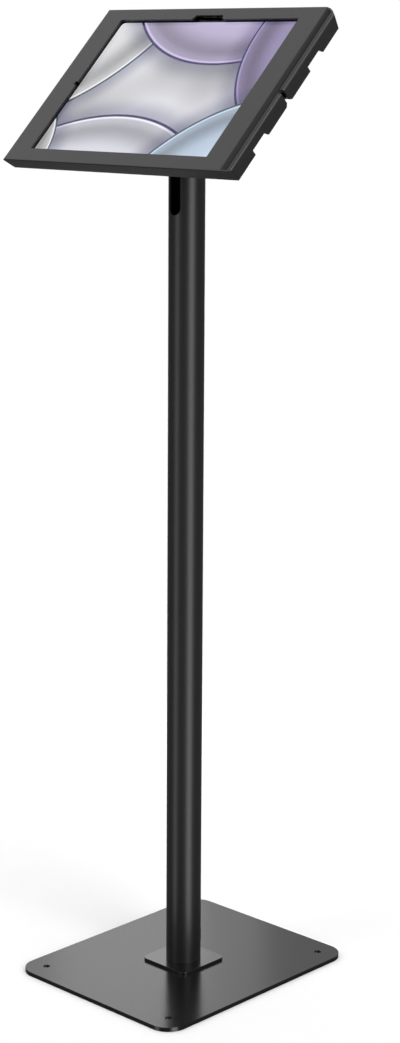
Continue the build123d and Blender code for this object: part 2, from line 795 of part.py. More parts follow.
def make_rear_tray():
    """The tray that carries the tablet and closes the back, with vents, holes and two bent stops."""
    width = tray_right - tray_left
    middle_u = (tray_right + tray_left) / 2
    outline = Pos(middle_u, 0) * RectangleRounded(width, 2 * tray_half_height, tray_corner)
    outline &= Pos(-corner_cut_width, 0) * shell_outline()
    tray = drop(outline, tray_front, tray_thickness)
    depth = tray_thickness + 2 * overrun
    top = tray_front + overrun
    tray -= drill(tray_screw_diameter + 2 * slip_gap, spacer_places(), top, depth)
    tray -= drill(bracket_screw_diameter + 2 * running_gap, bracket_screw_places(), top, depth)
    holes = drill(plate_screw_diameter + 2 * running_gap, plate_screw_places(), top, depth)
    tray -= Pos(swivel_u, 0, 0) * holes
    tray -= drill(swivel_bolt_head_diameter + 4 * slip_gap, [(swivel_u, 0)], top, depth)
    tray -= drill(camera_hole_diameter, [rear_camera_place()], top, depth)
    tray -= drill(cam_screw_head_diameter + 4 * slip_gap, [(lock_u, lock_v)], top, depth)
    cable = RectangleRounded(cable_window_width, cable_window_height, cable_window_corner)
    cable_v = bracket_low() - cable_window_gap - cable_window_height / 2
    tray -= drop(Pos(lock_u, cable_v) * cable, top, depth)
    vent_low = swivel_plate_side / 2 + vent_margin
    vent_high = tray_half_height - vent_margin
    vent = Rot(0, 0, quarter_turn) * SlotOverall(vent_high - vent_low, vent_width)
    for side in (-1, 1):
        for index in range(vent_count):
            u = swivel_u + (index - (vent_count - 1) / 2) * vent_pitch
            tray -= drop(Pos(u, side * (vent_low + vent_high) / 2) * vent, top, depth)
    tab_right = tablet_left - seat_gap
    for side in (-1, 1):
        v = window_v + side * (tablet_height / 2 - stop_tab_inset)
        tray += between(
            (tab_right - tray_thickness, v - stop_tab_width / 2, tray_front),
            (tab_right, v + stop_tab_width / 2, button_n),
        )
    return tray


def make_front_gasket():
    """The foam frame between the bezel and the glass, open at both notches."""
    low_u = window_u - window_width / 2 - gasket_window_gap
    high_u = window_u + window_width / 2 + gasket_window_gap
    low_v = window_v - window_height / 2 - gasket_window_gap
    high_v = window_v + window_height / 2 + gasket_window_gap
    edge = glass_inset + gasket_edge_gap
    outer = Pos(window_u, window_v) * RectangleRounded(
        tablet_width - 2 * edge, tablet_height - 2 * edge, tablet_corner - edge
    )
    inner = Pos((low_u + high_u) / 2, (low_v + high_v) / 2) * Rectangle(high_u - low_u, high_v - low_v)
    depth = tablet_recess - sheet
    gasket = drop(outer - inner, -sheet, depth)
    camera_gap = camera_notch_base + 2 * gasket_window_gap
    notch_u = window_u + camera_notch_offset
    gasket -= between(
        (notch_u - camera_gap / 2, high_v - overrun, glass_front - overrun),
        (notch_u + camera_gap / 2, half_height, overrun),
    )
    sensor_gap = sensor_notch_length + 2 * gasket_window_gap
    gasket -= between(
        (-half_width, window_v - sensor_gap / 2, glass_front - overrun),
        (low_u + overrun, window_v + sensor_gap / 2, overrun),
    )
    return gasket


def make_rear_pads():
    """Four foam pads between the tablet's back and the tray."""
    pad = drop(Rectangle(pad_width, pad_height), tablet_back, pad_thickness)
    spread_u = tablet_width - 2 * pad_side_inset
    spread_v = tablet_height - 2 * pad_end_inset
    return Part() + [Pos(u, v, 0) * pad for u, v in corners(spread_u, spread_v, (window_u, window_v))]


def tablet_outline(inset):
    """The tablet's rounded outline, drawn in by inset."""
    return Pos(window_u, window_v) * RectangleRounded(
        tablet_width - 2 * inset, tablet_height - 2 * inset, tablet_corner - inset
    )


def volume_places():
    """The two volume buttons along the tablet's top edge, up first."""
    return [tablet_left + volume_inset + side * volume_pitch / 2 for side in (-1, 1)]


def power_place():
    """The power button's place along the tablet's left edge."""
    return tablet_top - power_inset


def button_cut(gap):
    """A button's rounded section, with a gap all round."""
    return RectangleRounded(button_length + 2 * gap, button_height + 2 * gap, button_corner)


def on_top_edge(u, section, out, back):
    """A section pushed through the tablet's top wall at u, from out past it to back inside it."""
    plane = Plane(origin=(u, tablet_top + out, button_n), x_dir=(1, 0, 0), z_dir=(0, -1, 0))
    return extrude(plane * section, amount=out + back)


def on_left_edge(v, section, out, back):
    """The same through the tablet's left wall at v."""
    plane = Plane(origin=(tablet_left - out, v, button_n), x_dir=(0, 1, 0), z_dir=(1, 0, 0))
    return extrude(plane * section, amount=out + back)


def on_right_edge(v, section):
    """A section cut through the tablet's right wall at v."""
    plane = Plane(origin=(tablet_right + overrun, v, button_n), x_dir=(0, 1, 0), z_dir=(-1, 0, 0))
    return extrude(plane * section, amount=2 * overrun + tablet_wall)


def make_tablet_shell():
    """The tablet's thin back and sides, with its port, speaker holes and button slots."""
    shell = drop(tablet_outline(0.0), glass_back, tablet_thickness - glass_thickness)
    shell = fillet(shell.edges().group_by(Axis.Z)[0], tablet_back_round)
    depth = tablet_thickness - glass_thickness - tablet_back_wall
    shell -= drop(tablet_outline(tablet_wall), glass_back, depth)
    for u in volume_places():
        shell -= on_top_edge(u, button_cut(slip_gap), overrun, 2 * tablet_wall)
    shell -= on_left_edge(power_place(), button_cut(slip_gap), overrun, 2 * tablet_wall)
    shell -= on_right_edge(window_v, SlotOverall(port_width, port_height))
    for side in (-1, 1):
        for index in range(speaker_hole_count):
            reach = tablet_height / 2 - index * speaker_hole_pitch
            hole = Circle(speaker_hole_diameter / 2)
            shell -= on_right_edge(window_v + side * (reach - speaker_right_inset), hole)
            place = window_v + side * (reach - speaker_left_inset)
            shell -= on_left_edge(place, hole, overrun, 2 * tablet_wall)
    return shell


def make_tablet_glass():
    """The tablet's front glass."""
    return drop(tablet_outline(glass_inset), glass_front, glass_thickness)


def make_tablet_display():
    """The display panel bonded under the glass."""
    width = tablet_width - 2 * display_side_margin
    height = tablet_height - 2 * display_end_margin
    panel = RectangleRounded(width, height, display_corner)
    return drop(Pos(window_u, window_v) * panel, glass_back, display_thickness)


def inner_floor():
    """The inside of the tablet's back."""
    return tablet_back + tablet_back_wall


def make_tablet_battery():
    """Two battery cells side by side, between the left edge and the board."""
    low = tablet_left + battery_left_margin
    high = tablet_right - board_right_margin - board_width - battery_board_gap
    width = (high - low - battery_gap) / 2
    height = tablet_height - 2 * battery_end_margin
    cell = drop(Rectangle(width, height), inner_floor() + battery_thickness, battery_thickness)
    step = (width + battery_gap) / 2
    return Part() + [Pos((low + high) / 2 + side * step, window_v, 0) * cell for side in (-1, 1)]


def make_tablet_board():
    """The main board beside the cells, behind the port."""
    middle = tablet_right - board_right_margin - board_width / 2
    board = Rectangle(board_width, tablet_height - 2 * board_end_margin)
    return drop(Pos(middle, window_v) * board, inner_floor() + board_thickness, board_thickness)


def make_front_camera():
    """The camera under the glass, in the middle of the top border."""
    place = [(window_u, tablet_top - front_camera_drop)]
    return drill(front_camera_diameter, place, glass_back, display_thickness)


def rear_camera_place():
    """The rear camera's centre."""
    return (tablet_left + rear_camera_inset, tablet_top - rear_camera_inset)


def make_rear_camera():
    """The raised ring of the rear camera with its sunk lens."""
    ring = drill(rear_camera_diameter, [rear_camera_place()], tablet_back, rear_camera_height)
    well = tablet_back - rear_camera_height + rear_lens_depth
    lens = drill(rear_lens_diameter, [rear_camera_place()], well, 2 * rear_lens_depth)
    return ring - lens


def button_solid():
    """A button's section with its own gap left free."""
    return RectangleRounded(button_length, button_height, button_corner)


def make_volume_button(index):
    """One volume button in the tablet's top edge."""
    return on_top_edge(volume_places()[index], button_solid(), button_proud, button_root)


def make_power_button():
    """The power button in the tablet's left edge."""
    return on_left_edge(power_place(), button_solid(), button_proud, button_root)


def at_lock(shape):
    """Move a shape from the lock's axis to its place in the head."""
    return Pos(lock_u, lock_v, 0) * shape


def make_lock_bracket():
    """The hat-shaped bracket behind the tray that holds the lock."""
    reach = bracket_leg_reach + bracket_sheet
    half = bracket_width / 2
    bracket = between((-half, -reach, bracket_back), (half, reach, bracket_front))
    for side in (-1, 1):
        low, high = sorted((side * bracket_leg_reach, side * reach))
        bracket += between((-half, low, bracket_back), (half, high, tray_back))
        low, high = sorted((side * bracket_leg_reach, side * (reach + bracket_foot)))
        bracket += between((-half, low, tray_back - bracket_sheet), (half, high, tray_back))
    depth = bracket_sheet + 2 * overrun
    bracket -= drill(lock_barrel_diameter + 2 * slip_gap, [(0, 0)], bracket_front + overrun, depth)
    bracket = at_lock(bracket)
    hole = bracket_screw_diameter + 2 * slip_gap
    return bracket - drill(hole, bracket_screw_places(), tray_back + overrun, depth)


def make_bracket_screws():
    """Two screws through the bracket's feet into the tray."""
    one = screw(
        bracket_screw_diameter, bracket_sheet + tray_thickness, bracket_screw_head_diameter,
        bracket_screw_head_height, tray_screw_key, tray_screw_key_depth,
    )
    turned = Rot(180, 0, 0) * one
    return Part() + [Pos(u, v, tray_back - bracket_sheet) * turned for u, v in bracket_screw_places()]


def make_lock_barrel():
    """The lock's fixed barrel, flanged at its front and open for the plug."""
    barrel = drop(Circle(lock_flange_diameter / 2), lock_flange_front, lock_flange_thickness)
    barrel += drop(Circle(lock_barrel_diameter / 2), lock_flange_front, lock_rear + lock_flange_front)
    bore = Circle(plug_diameter / 2 + running_gap)
    return at_lock(barrel - drop(bore, lock_flange_front + overrun, lock_rear + 2 * overrun))


def make_lock_plug():
    """The key plug: a keyway at the back and a square drive for the cam at the front."""
    plug = drop(Circle(plug_diameter / 2), cam_back, lock_rear + cam_back)
    plug += drop(Rectangle(plug_square, plug_square), cam_front, cam_thickness)
    plug -= drop(Rectangle(keyway_width, keyway_height), keyway_depth - lock_rear, keyway_depth + overrun)
    bore_depth = cam_screw_length + slip_gap + overrun
    plug -= drop(Circle(cam_screw_diameter / 2 + running_gap), cam_front + overrun, bore_depth)
    return at_lock(plug)


def make_lock_cam():
    """The hooked cam, shown unlocked: a quarter turn brings its hook behind the cover's keeper."""
    arm = Pos(cam_hook_outer / 2, 0) * Rectangle(cam_hook_outer, cam_arm_width)
    shape = Circle(cam_hub_diameter / 2) + (arm & Circle(cam_hook_outer))
    middle_radius = (cam_hook_inner + cam_hook_outer) / 2
    hook_width = cam_hook_outer - cam_hook_inner
    end_angle = math.degrees(hook_width / 2 / middle_radius)
    shape += SlotArc(CenterArc((0, 0), middle_radius, 0, cam_hook_angle - end_angle), hook_width)
    shape -= Rectangle(plug_square + 2 * slip_gap, plug_square + 2 * slip_gap)
    return at_lock(Rot(0, 0, -quarter_turn) * drop(shape, cam_front, cam_thickness))


def make_cam_screw():
    """The screw that keeps the cam on the plug."""
    one = screw(
        cam_screw_diameter, cam_screw_length, cam_screw_head_diameter, cam_screw_head_height,
        tray_screw_key, cam_screw_head_height / 2,
    )
    return at_lock(Pos(0, 0, cam_front) * one)


def make_lock_nut():
    """The thin nut that clamps the lock in its bracket."""
    nut = hexagon(lock_nut_flats) - Circle(lock_barrel_diameter / 2 + running_gap)
    return at_lock(drop(nut, bracket_back, lock_nut_height))


stand_nodes = {
    "base_plate": make_base_plate,
    "pole_flange": make_pole_flange,
    "flange_screws": make_flange_screws,
    "pole_tube": make_pole_tube,
    "cable_grommet": make_cable_grommet,
    "hinge_block": make_hinge_block,
    "block_screws": make_block_screws,
    "tilt_bolt": make_tilt_bolt,
    "tilt_nut": make_tilt_nut,
    "friction_discs": make_friction_discs,
}

head_nodes = {
    "tilt_neck": make_tilt_neck,
    "swivel_washer": make_swivel_washer,
    "swivel_plate": make_swivel_plate,
    "stop_pin": make_stop_pin,
    "swivel_bolt": make_swivel_bolt,
    "spring_washer": make_spring_washer,
    "swivel_nut": make_swivel_nut,
    "plate_screws": make_plate_screws,
    "front_bezel": make_front_bezel,
    "side_cover": make_side_cover,
    "spacers": make_spacers,
    "tray_screws": make_tray_screws,
    "rear_tray": make_rear_tray,
    "front_gasket": make_front_gasket,
    "rear_pads": make_rear_pads,
    "tablet_shell": make_tablet_shell,
    "tablet_glass": make_tablet_glass,
    "tablet_display": make_tablet_display,
    "tablet_battery": make_tablet_battery,
    "tablet_board": make_tablet_board,
    "front_camera": make_front_camera,
    "rear_camera": make_rear_camera,
    "volume_up": lambda: make_volume_button(0),
    "volume_down": lambda: make_volume_button(1),
    "power_button": make_power_button,
    "lock_bracket": make_lock_bracket,
    "bracket_screws": make_bracket_screws,
    "lock_barrel": make_lock_barrel,
    "lock_nut": make_lock_nut,
    "lock_plug": make_lock_plug,
    "lock_cam": make_lock_cam,
    "cam_screw": make_cam_screw,
}


def main():
    """Build every piece and write each one to its own file."""
    os.makedirs("parts", exist_ok=True)
    for name, make in stand_nodes.items():
        export_step(make(), f"parts/{name}.step")
    for name, make in head_nodes.items():
        export_step(head_frame * make(), f"parts/{name}.step")


main()
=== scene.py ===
"""Tablet kiosk stand: finishes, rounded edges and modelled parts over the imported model."""

import json
import logging
import math
from collections.abc import Callable
from dataclasses import dataclass
from enum import Enum

import bpy
from mathutils import Matrix, Vector

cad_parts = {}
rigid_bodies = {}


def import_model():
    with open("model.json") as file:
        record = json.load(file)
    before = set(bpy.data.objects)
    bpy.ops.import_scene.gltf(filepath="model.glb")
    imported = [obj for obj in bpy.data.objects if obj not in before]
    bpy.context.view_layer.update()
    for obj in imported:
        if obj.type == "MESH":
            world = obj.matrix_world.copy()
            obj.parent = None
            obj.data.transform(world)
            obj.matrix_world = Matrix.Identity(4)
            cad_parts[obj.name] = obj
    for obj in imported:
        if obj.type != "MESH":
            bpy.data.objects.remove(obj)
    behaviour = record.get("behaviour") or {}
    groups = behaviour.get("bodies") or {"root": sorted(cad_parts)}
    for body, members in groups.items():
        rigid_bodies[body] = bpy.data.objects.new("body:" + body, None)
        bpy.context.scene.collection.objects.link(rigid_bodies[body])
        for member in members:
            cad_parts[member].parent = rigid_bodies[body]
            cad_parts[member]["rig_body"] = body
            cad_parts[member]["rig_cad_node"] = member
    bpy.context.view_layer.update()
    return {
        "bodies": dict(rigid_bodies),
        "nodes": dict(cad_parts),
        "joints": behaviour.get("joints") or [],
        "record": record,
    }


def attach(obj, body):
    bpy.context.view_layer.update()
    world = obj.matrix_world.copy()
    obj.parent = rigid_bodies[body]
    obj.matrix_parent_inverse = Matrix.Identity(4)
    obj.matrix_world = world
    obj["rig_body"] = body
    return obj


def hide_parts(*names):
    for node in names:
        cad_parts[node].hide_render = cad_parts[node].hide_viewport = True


LOG = logging.getLogger("kiosk_stand")

MM = 0.001  # metres
MERGE_DISTANCE = 0.00001  # metres: corners nearer than this become one
FLAT_ANGLE = 1.0  # degrees: faces that meet at less than this become one
SMOOTH_ANGLE = 50.0  # degrees: faces that meet at less than this are shaded as one
FLAT_WEIGHT = 100  # how far large faces rule the shading beside a rounding
CORNER_STEPS = 16  # faces round a plate's corner
BEND_STEPS = 5  # faces round a bend
PATTERN_RANGE = (0.3, 0.7)  # where most of a noise pattern lies
WHITE = (1.0, 1.0, 1.0, 1.0)
LEVEL = (1.0, 1.0, 0.0)  # what a direction is multiplied by to lay it flat

Colour = tuple[float, float, float]
Spot = tuple[float, float, float]
Piece = bpy.types.Object
Material = bpy.types.Material
Tree = bpy.types.NodeTree
Node = bpy.types.Node
Socket = bpy.types.NodeSocket


class Axis(Enum):
    """The axis that a rod lies along, as the turn that lays it there."""

    X = (0.0, math.pi / 2, 0.0)
    Y = (math.pi / 2, 0.0, 0.0)
    Z = (0.0, 0.0, 0.0)


# Selecting and shaping


def deselect_all() -> None:
    """Deselect every object."""
    bpy.ops.object.select_all(action="DESELECT")


def pick(piece: Piece) -> None:
    """Make one object the only selected and active one.

    Args:
        piece: the object to work on.
    """
    deselect_all()
    piece.select_set(True)
    bpy.context.view_layer.objects.active = piece


def name_piece(name: str) -> Piece:
    """Name the active object and its mesh.

    Args:
        name: the piece's name.

    Returns:
        The active object.
    """
    piece = bpy.context.active_object
    piece.name = name
    piece.data.name = name
    return piece


def settle(piece: Piece, place: Matrix | None = None) -> None:
    """Put an object's place into its mesh.

    Args:
        piece: the object.
        place: a further transform given to it first.
    """
    pick(piece)
    if place is not None:
        piece.matrix_world = place @ piece.matrix_world
        bpy.context.view_layer.update()
    bpy.ops.object.transform_apply(location=True, rotation=True, scale=True)


def cut(piece: Piece, cutter: Piece) -> None:
    """Cut one mesh out of another and remove the cutter.

    Args:
        piece: the mesh that is cut.
        cutter: the mesh taken out of it.
    """
    pick(piece)
    change = piece.modifiers.new("cut", "BOOLEAN")
    change.operation = "DIFFERENCE"
    change.object = cutter
    change.solver = "EXACT"
    bpy.ops.object.modifier_apply(modifier=change.name)
    bpy.data.objects.remove(cutter)


def round_edges(piece: Piece, width: float, segments: int = 2, angle: float = 30.0) -> None:
    """Round a piece's edges and smooth its curved faces.

    Args:
        piece: the mesh.
        width: the rounding's width in millimetres.
        segments: how many faces it has across.
        angle: the least angle, in degrees, of an edge that is rounded.
    """
    pick(piece)
    change = piece.modifiers.new("rounding", "BEVEL")
    change.width = width * MM
    change.segments = segments
    change.limit_method = "ANGLE"
    change.angle_limit = math.radians(angle)
    bpy.ops.object.modifier_apply(modifier=change.name)
    bpy.ops.object.shade_smooth_by_angle(angle=math.radians(SMOOTH_ANGLE))
    change = piece.modifiers.new("flats", "WEIGHTED_NORMAL")
    change.keep_sharp = True
    change.weight = FLAT_WEIGHT
    bpy.ops.object.modifier_apply(modifier=change.name)


def rod(name: str, radius: float, length: float, centre: Spot, along: Axis, sides: int = 64) -> Piece:
    """Add a round rod, in millimetres.

    Args:
        name: the rod's name.
        radius: its radius.
        length: its length.
        centre: its middle.
        along: the axis it lies on.
        sides: how many flat sides it has.

    Returns:
        The rod.
    """
    deselect_all()
    bpy.ops.mesh.primitive_cylinder_add(
        vertices=sides, radius=radius * MM, depth=length * MM,
        location=tuple(c * MM for c in centre), rotation=along.value,
    )
    piece = name_piece(name)
    settle(piece)
    return piece


def rounded_plate(name: str, size: tuple[float, float], corner: float, low: float, high: float,
                  middle: tuple[float, float] = (0.0, 0.0)) -> Piece:
    """Add a plate with rounded corners, in millimetres.

    Args:
        name: the plate's name.
        size: its width and depth.
        corner: its corners' radius.
        low: the height of its underside.
        high: the height of its top.
        middle: the place of its centre.

    Returns:
        The plate.
    """
    deselect_all()
    bpy.ops.mesh.primitive_plane_add(size=1.0, location=(middle[0] * MM, middle[1] * MM, low * MM))
    piece = name_piece(name)
    piece.scale = (size[0] * MM, size[1] * MM, 1.0)
    settle(piece)
    bpy.ops.object.mode_set(mode="EDIT")
    bpy.ops.mesh.select_all(action="SELECT")
    bpy.ops.mesh.bevel(offset=corner * MM, segments=CORNER_STEPS, affect="VERTICES")
    bpy.ops.mesh.select_all(action="SELECT")
    bpy.ops.mesh.extrude_region_move(TRANSFORM_OT_translate={"value": (0, 0, (high - low) * MM)})
    bpy.ops.mesh.select_all(action="SELECT")
    bpy.ops.mesh.normals_make_consistent(inside=False)
    bpy.ops.object.mode_set(mode="OBJECT")
    return piece


def merged_copy(node: Piece, name: str) -> Piece:
    """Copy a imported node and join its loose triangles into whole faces.

    Args:
        node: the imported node.
        name: the copy's name.

    Returns:
        The copy.
    """
    pick(node)
    bpy.ops.object.duplicate()
    piece = name_piece(name)
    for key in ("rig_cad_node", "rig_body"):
        if key in piece:
            del piece[key]
    piece.parent = None
    piece.data.materials.clear()
    bpy.ops.mesh.customdata_custom_splitnormals_clear()
    bpy.ops.object.mode_set(mode="EDIT")
    bpy.ops.mesh.select_all(action="SELECT")
    bpy.ops.mesh.remove_doubles(threshold=MERGE_DISTANCE)
    bpy.ops.mesh.dissolve_limited(angle_limit=math.radians(FLAT_ANGLE))
    bpy.ops.object.mode_set(mode="OBJECT")
    return piece


def bend_edges(piece: Piece, chosen: Callable[[Vector, Vector], bool], radius: float) -> None:
    """Round chosen edges of a mesh like a bend in sheet metal.

    Args:
        piece: the mesh.
        chosen: says from an edge's two ends, in metres, whether it is bent.
        radius: the bend's radius in millimetres.
    """
    pick(piece)
    bpy.ops.object.mode_set(mode="EDIT")
    bpy.ops.mesh.select_all(action="DESELECT")
    bpy.ops.mesh.select_mode(type="EDGE")
    bpy.ops.object.mode_set(mode="OBJECT")
    mesh = piece.data
    for edge in mesh.edges:
        first, second = (mesh.vertices[i].co for i in edge.vertices)
        edge.select = chosen(first, second)
    LOG.info("%s: %d bent edges", piece.name, sum(edge.select for edge in mesh.edges))
    bpy.ops.object.mode_set(mode="EDIT")
    bpy.ops.mesh.bevel(offset=radius * MM, segments=BEND_STEPS, profile=0.5, affect="EDGES", loop_slide=False)
    bpy.ops.object.mode_set(mode="OBJECT")


# Finishes


def new_material(name: str) -> tuple[Material, Node]:
    """Start a material.

    Args:
        name: its name.

    Returns:
        The material and its main shader.
    """
    material = bpy.data.materials.new(name)
    material.use_nodes = True
    return material, material.node_tree.nodes["Principled BSDF"]


def add_node(tree: Tree, kind: str, values: dict[str | int, object] | None = None, **settings: str) -> Node:
    """Add a shader node.

    Args:
        tree: the nodes that it joins.
        kind: its type, such as Math.
        values: the values of its inputs.
        settings: its settings, such as its operation.

    Returns:
        The node.
    """
    node = tree.nodes.new(f"ShaderNode{kind}")
    for key, setting in settings.items():
        setattr(node, key, setting)
    for key, value in (values or {}).items():
        node.inputs[key].default_value = value
    return node


def opaque(colour: Colour, gain: float = 1.0) -> tuple[float, float, float, float]:
    """A colour made lighter or darker, with its alpha, for a socket or a ramp."""
    return tuple(min(c * gain, 1.0) for c in colour) + (1.0,)


def object_noise(material: Material, scale: float, detail: float, stretch: Spot = (1.0, 1.0, 1.0)) -> Node:
    """Add a noise pattern in the object's own coordinates.

    Args:
        material: the material it goes in.
        scale: its scale, in waves a metre.
        detail: its detail.
        stretch: how much each axis is scaled.

    Returns:
        The noise node.
    """
    tree = material.node_tree
    place = add_node(tree, "TexCoord")
    turn = add_node(tree, "Mapping", {"Scale": stretch})
    noise = add_node(tree, "TexNoise", {"Scale": scale, "Detail": detail})
    tree.links.new(place.outputs["Object"], turn.inputs["Vector"])
    tree.links.new(turn.outputs["Vector"], noise.inputs["Vector"])
    return noise


def add_bump(material: Material, shader: Node, height: Socket, strength: float, distance: float) -> None:
    """Raise a surface by a pattern.

    Args:
        material: the material.
        shader: its main shader.
        height: the pattern.
        strength: the bump's strength.
        distance: its height in metres.
    """
    bump = add_node(material.node_tree, "Bump", {"Strength": strength, "Distance": distance})
    material.node_tree.links.new(height, bump.inputs["Height"])
    material.node_tree.links.new(bump.outputs["Normal"], shader.inputs["Normal"])


def add_sheen(material: Material, shader: Node, pattern: Socket, low: float, high: float) -> None:
    """Spread a surface's roughness over a range by a pattern.

    Args:
        material: the material.
        shader: its main shader.
        pattern: the pattern.
        low: the roughness where the pattern is low.
        high: the roughness where it is high.
    """
    tree = material.node_tree
    start, end = PATTERN_RANGE
    spread = add_node(tree, "MapRange", {"From Min": start, "From Max": end, "To Min": low, "To Max": high})
    tree.links.new(pattern, spread.inputs["Value"])
    tree.links.new(spread.outputs["Result"], shader.inputs["Roughness"])


def tinted(tree: Tree, pattern: Socket, colour: Colour, gains: tuple[float, float],
           stops: tuple[float, float] = (0.0, 1.0)) -> Socket:
    """Turn a pattern into shades of a colour.

    Args:
        tree: the material's nodes.
        pattern: the pattern.
        colour: the colour.
        gains: how light it is at the two stops.
        stops: the pattern's values there.

    Returns:
        The shades' socket.
    """
    ramp = add_node(tree, "ValToRGB")
    for stop, position, gain in zip(ramp.color_ramp.elements, stops, gains):
        stop.position = position
        stop.color = opaque(colour, gain)
    tree.links.new(pattern, ramp.inputs["Fac"])
    return ramp.outputs["Color"]


@dataclass(frozen=True)
class PowderCoat:
    """Baked powder paint: fine orange peel, slight cloudiness and a soft sheen."""

    name: str
    colour: Colour
    roughness: float = 0.38
    specular: float = 0.3
    grain: float = 0.25
    relief: float = 0.00004
    cloud_scale: float = 9.0
    cloud_gains: tuple[float, float] = (0.9, 1.1)
    peel_scale: float = 900.0
    sheen_spread: float = 0.04

    def build(self) -> Material:
        """Make the material.

        Returns:
            The material.
        """
        material, shader = new_material(self.name)
        shader.inputs["Specular IOR Level"].default_value = self.specular
        tree = material.node_tree
        cloud = object_noise(material, self.cloud_scale, detail=3.0).outputs["Fac"]
        shades = tinted(tree, cloud, self.colour, self.cloud_gains, PATTERN_RANGE)
        tree.links.new(shades, shader.inputs["Base Color"])
        peel = object_noise(material, self.peel_scale, detail=2.0).outputs["Fac"]
        low, high = self.roughness - self.sheen_spread, self.roughness + self.sheen_spread
        add_sheen(material, shader, peel, low, high)
        add_bump(material, shader, peel, self.grain, self.relief)
        return material


@dataclass(frozen=True)
class BareSteel:
    """Zinc-plated or chromed steel with fine turning marks."""

    name: str
    colour: Colour = (0.56, 0.57, 0.58)
    roughness: float = 0.3
    mark_scale: float = 1400.0
    mark_stretch: Spot = (1.0, 1.0, 0.15)
    polish: float = 0.07
    wear: float = 0.1
    grain: float = 0.15
    relief: float = 0.00002

    def build(self) -> Material:
        """Make the material.

        Returns:
            The material.
        """
        material, shader = new_material(self.name)
        shader.inputs["Base Color"].default_value = opaque(self.colour)
        shader.inputs["Metallic"].default_value = 1.0
        marks = object_noise(material, self.mark_scale, detail=3.0, stretch=self.mark_stretch).outputs["Fac"]
        add_sheen(material, shader, marks, self.roughness - self.polish, self.roughness + self.wear)
        add_bump(material, shader, marks, self.grain, self.relief)
        return material


@dataclass(frozen=True)
class SoftSolid:
    """Foam, rubber or plain plastic with a fine grain."""

    name: str
    colour: Colour
    roughness: float = 0.8
    scale: float = 1500.0
    relief: float = 0.00008
    specular: float = 0.3
    gains: tuple[float, float] = (0.8, 1.2)
    sheen_spread: float = 0.08
    grain: float = 0.4

    def build(self) -> Material:
        """Make the material.

        Returns:
            The material.
        """
        material, shader = new_material(self.name)
        shader.inputs["Specular IOR Level"].default_value = self.specular
        tree = material.node_tree
        pattern = object_noise(material, self.scale, detail=3.0).outputs["Fac"]
        tree.links.new(tinted(tree, pattern, self.colour, self.gains), shader.inputs["Base Color"])
        low, high = self.roughness - self.sheen_spread, self.roughness + self.sheen_spread
        add_sheen(material, shader, pattern, low, high)
        add_bump(material, shader, pattern, self.grain, self.relief)
        return material


@dataclass(frozen=True)
class Anodised:
    """Bead-blasted, anodised aluminium."""

    name: str
    colour: Colour = (0.62, 0.63, 0.65)
    sheen: tuple[float, float] = (0.32, 0.42)
    blast_scale: float = 3500.0
    grain: float = 0.2
    relief: float = 0.00001

    def build(self) -> Material:
        """Make the material.

        Returns:
            The material.
        """
        material, shader = new_material(self.name)
        shader.inputs["Base Color"].default_value = opaque(self.colour)
        shader.inputs["Metallic"].default_value = 1.0
        blast = object_noise(material, self.blast_scale, detail=2.0).outputs["Fac"]
        add_sheen(material, shader, blast, *self.sheen)
        add_bump(material, shader, blast, self.grain, self.relief)
        return material


@dataclass(frozen=True)
class ClearGlass:
    """Polished cover glass, its index low as with an anti-glare layer, and slightly smudged."""

    name: str
    index: float = 1.16
    sheen: tuple[float, float] = (0.01, 0.05)
    smudge_scale: float = 25.0

    def build(self) -> Material:
        """Make the material.

        Returns:
            The material.
        """
        material, shader = new_material(self.name)
        shader.inputs["Base Color"].default_value = WHITE
        shader.inputs["IOR"].default_value = self.index
        shader.inputs["Transmission Weight"].default_value = 1.0
        smudge = object_noise(material, self.smudge_scale, detail=5.0).outputs["Fac"]
        add_sheen(material, shader, smudge, *self.sheen)
        return material


@dataclass(frozen=True)
class Fold:
    """One soft fold of the picture: all that lies within a circle, lit from its edge inwards.

    Its sizes are in metres in the head's own frame.
    """

    centre: tuple[float, float]
    radius: float
    colour: Colour
    rim: Colour
    depth: float


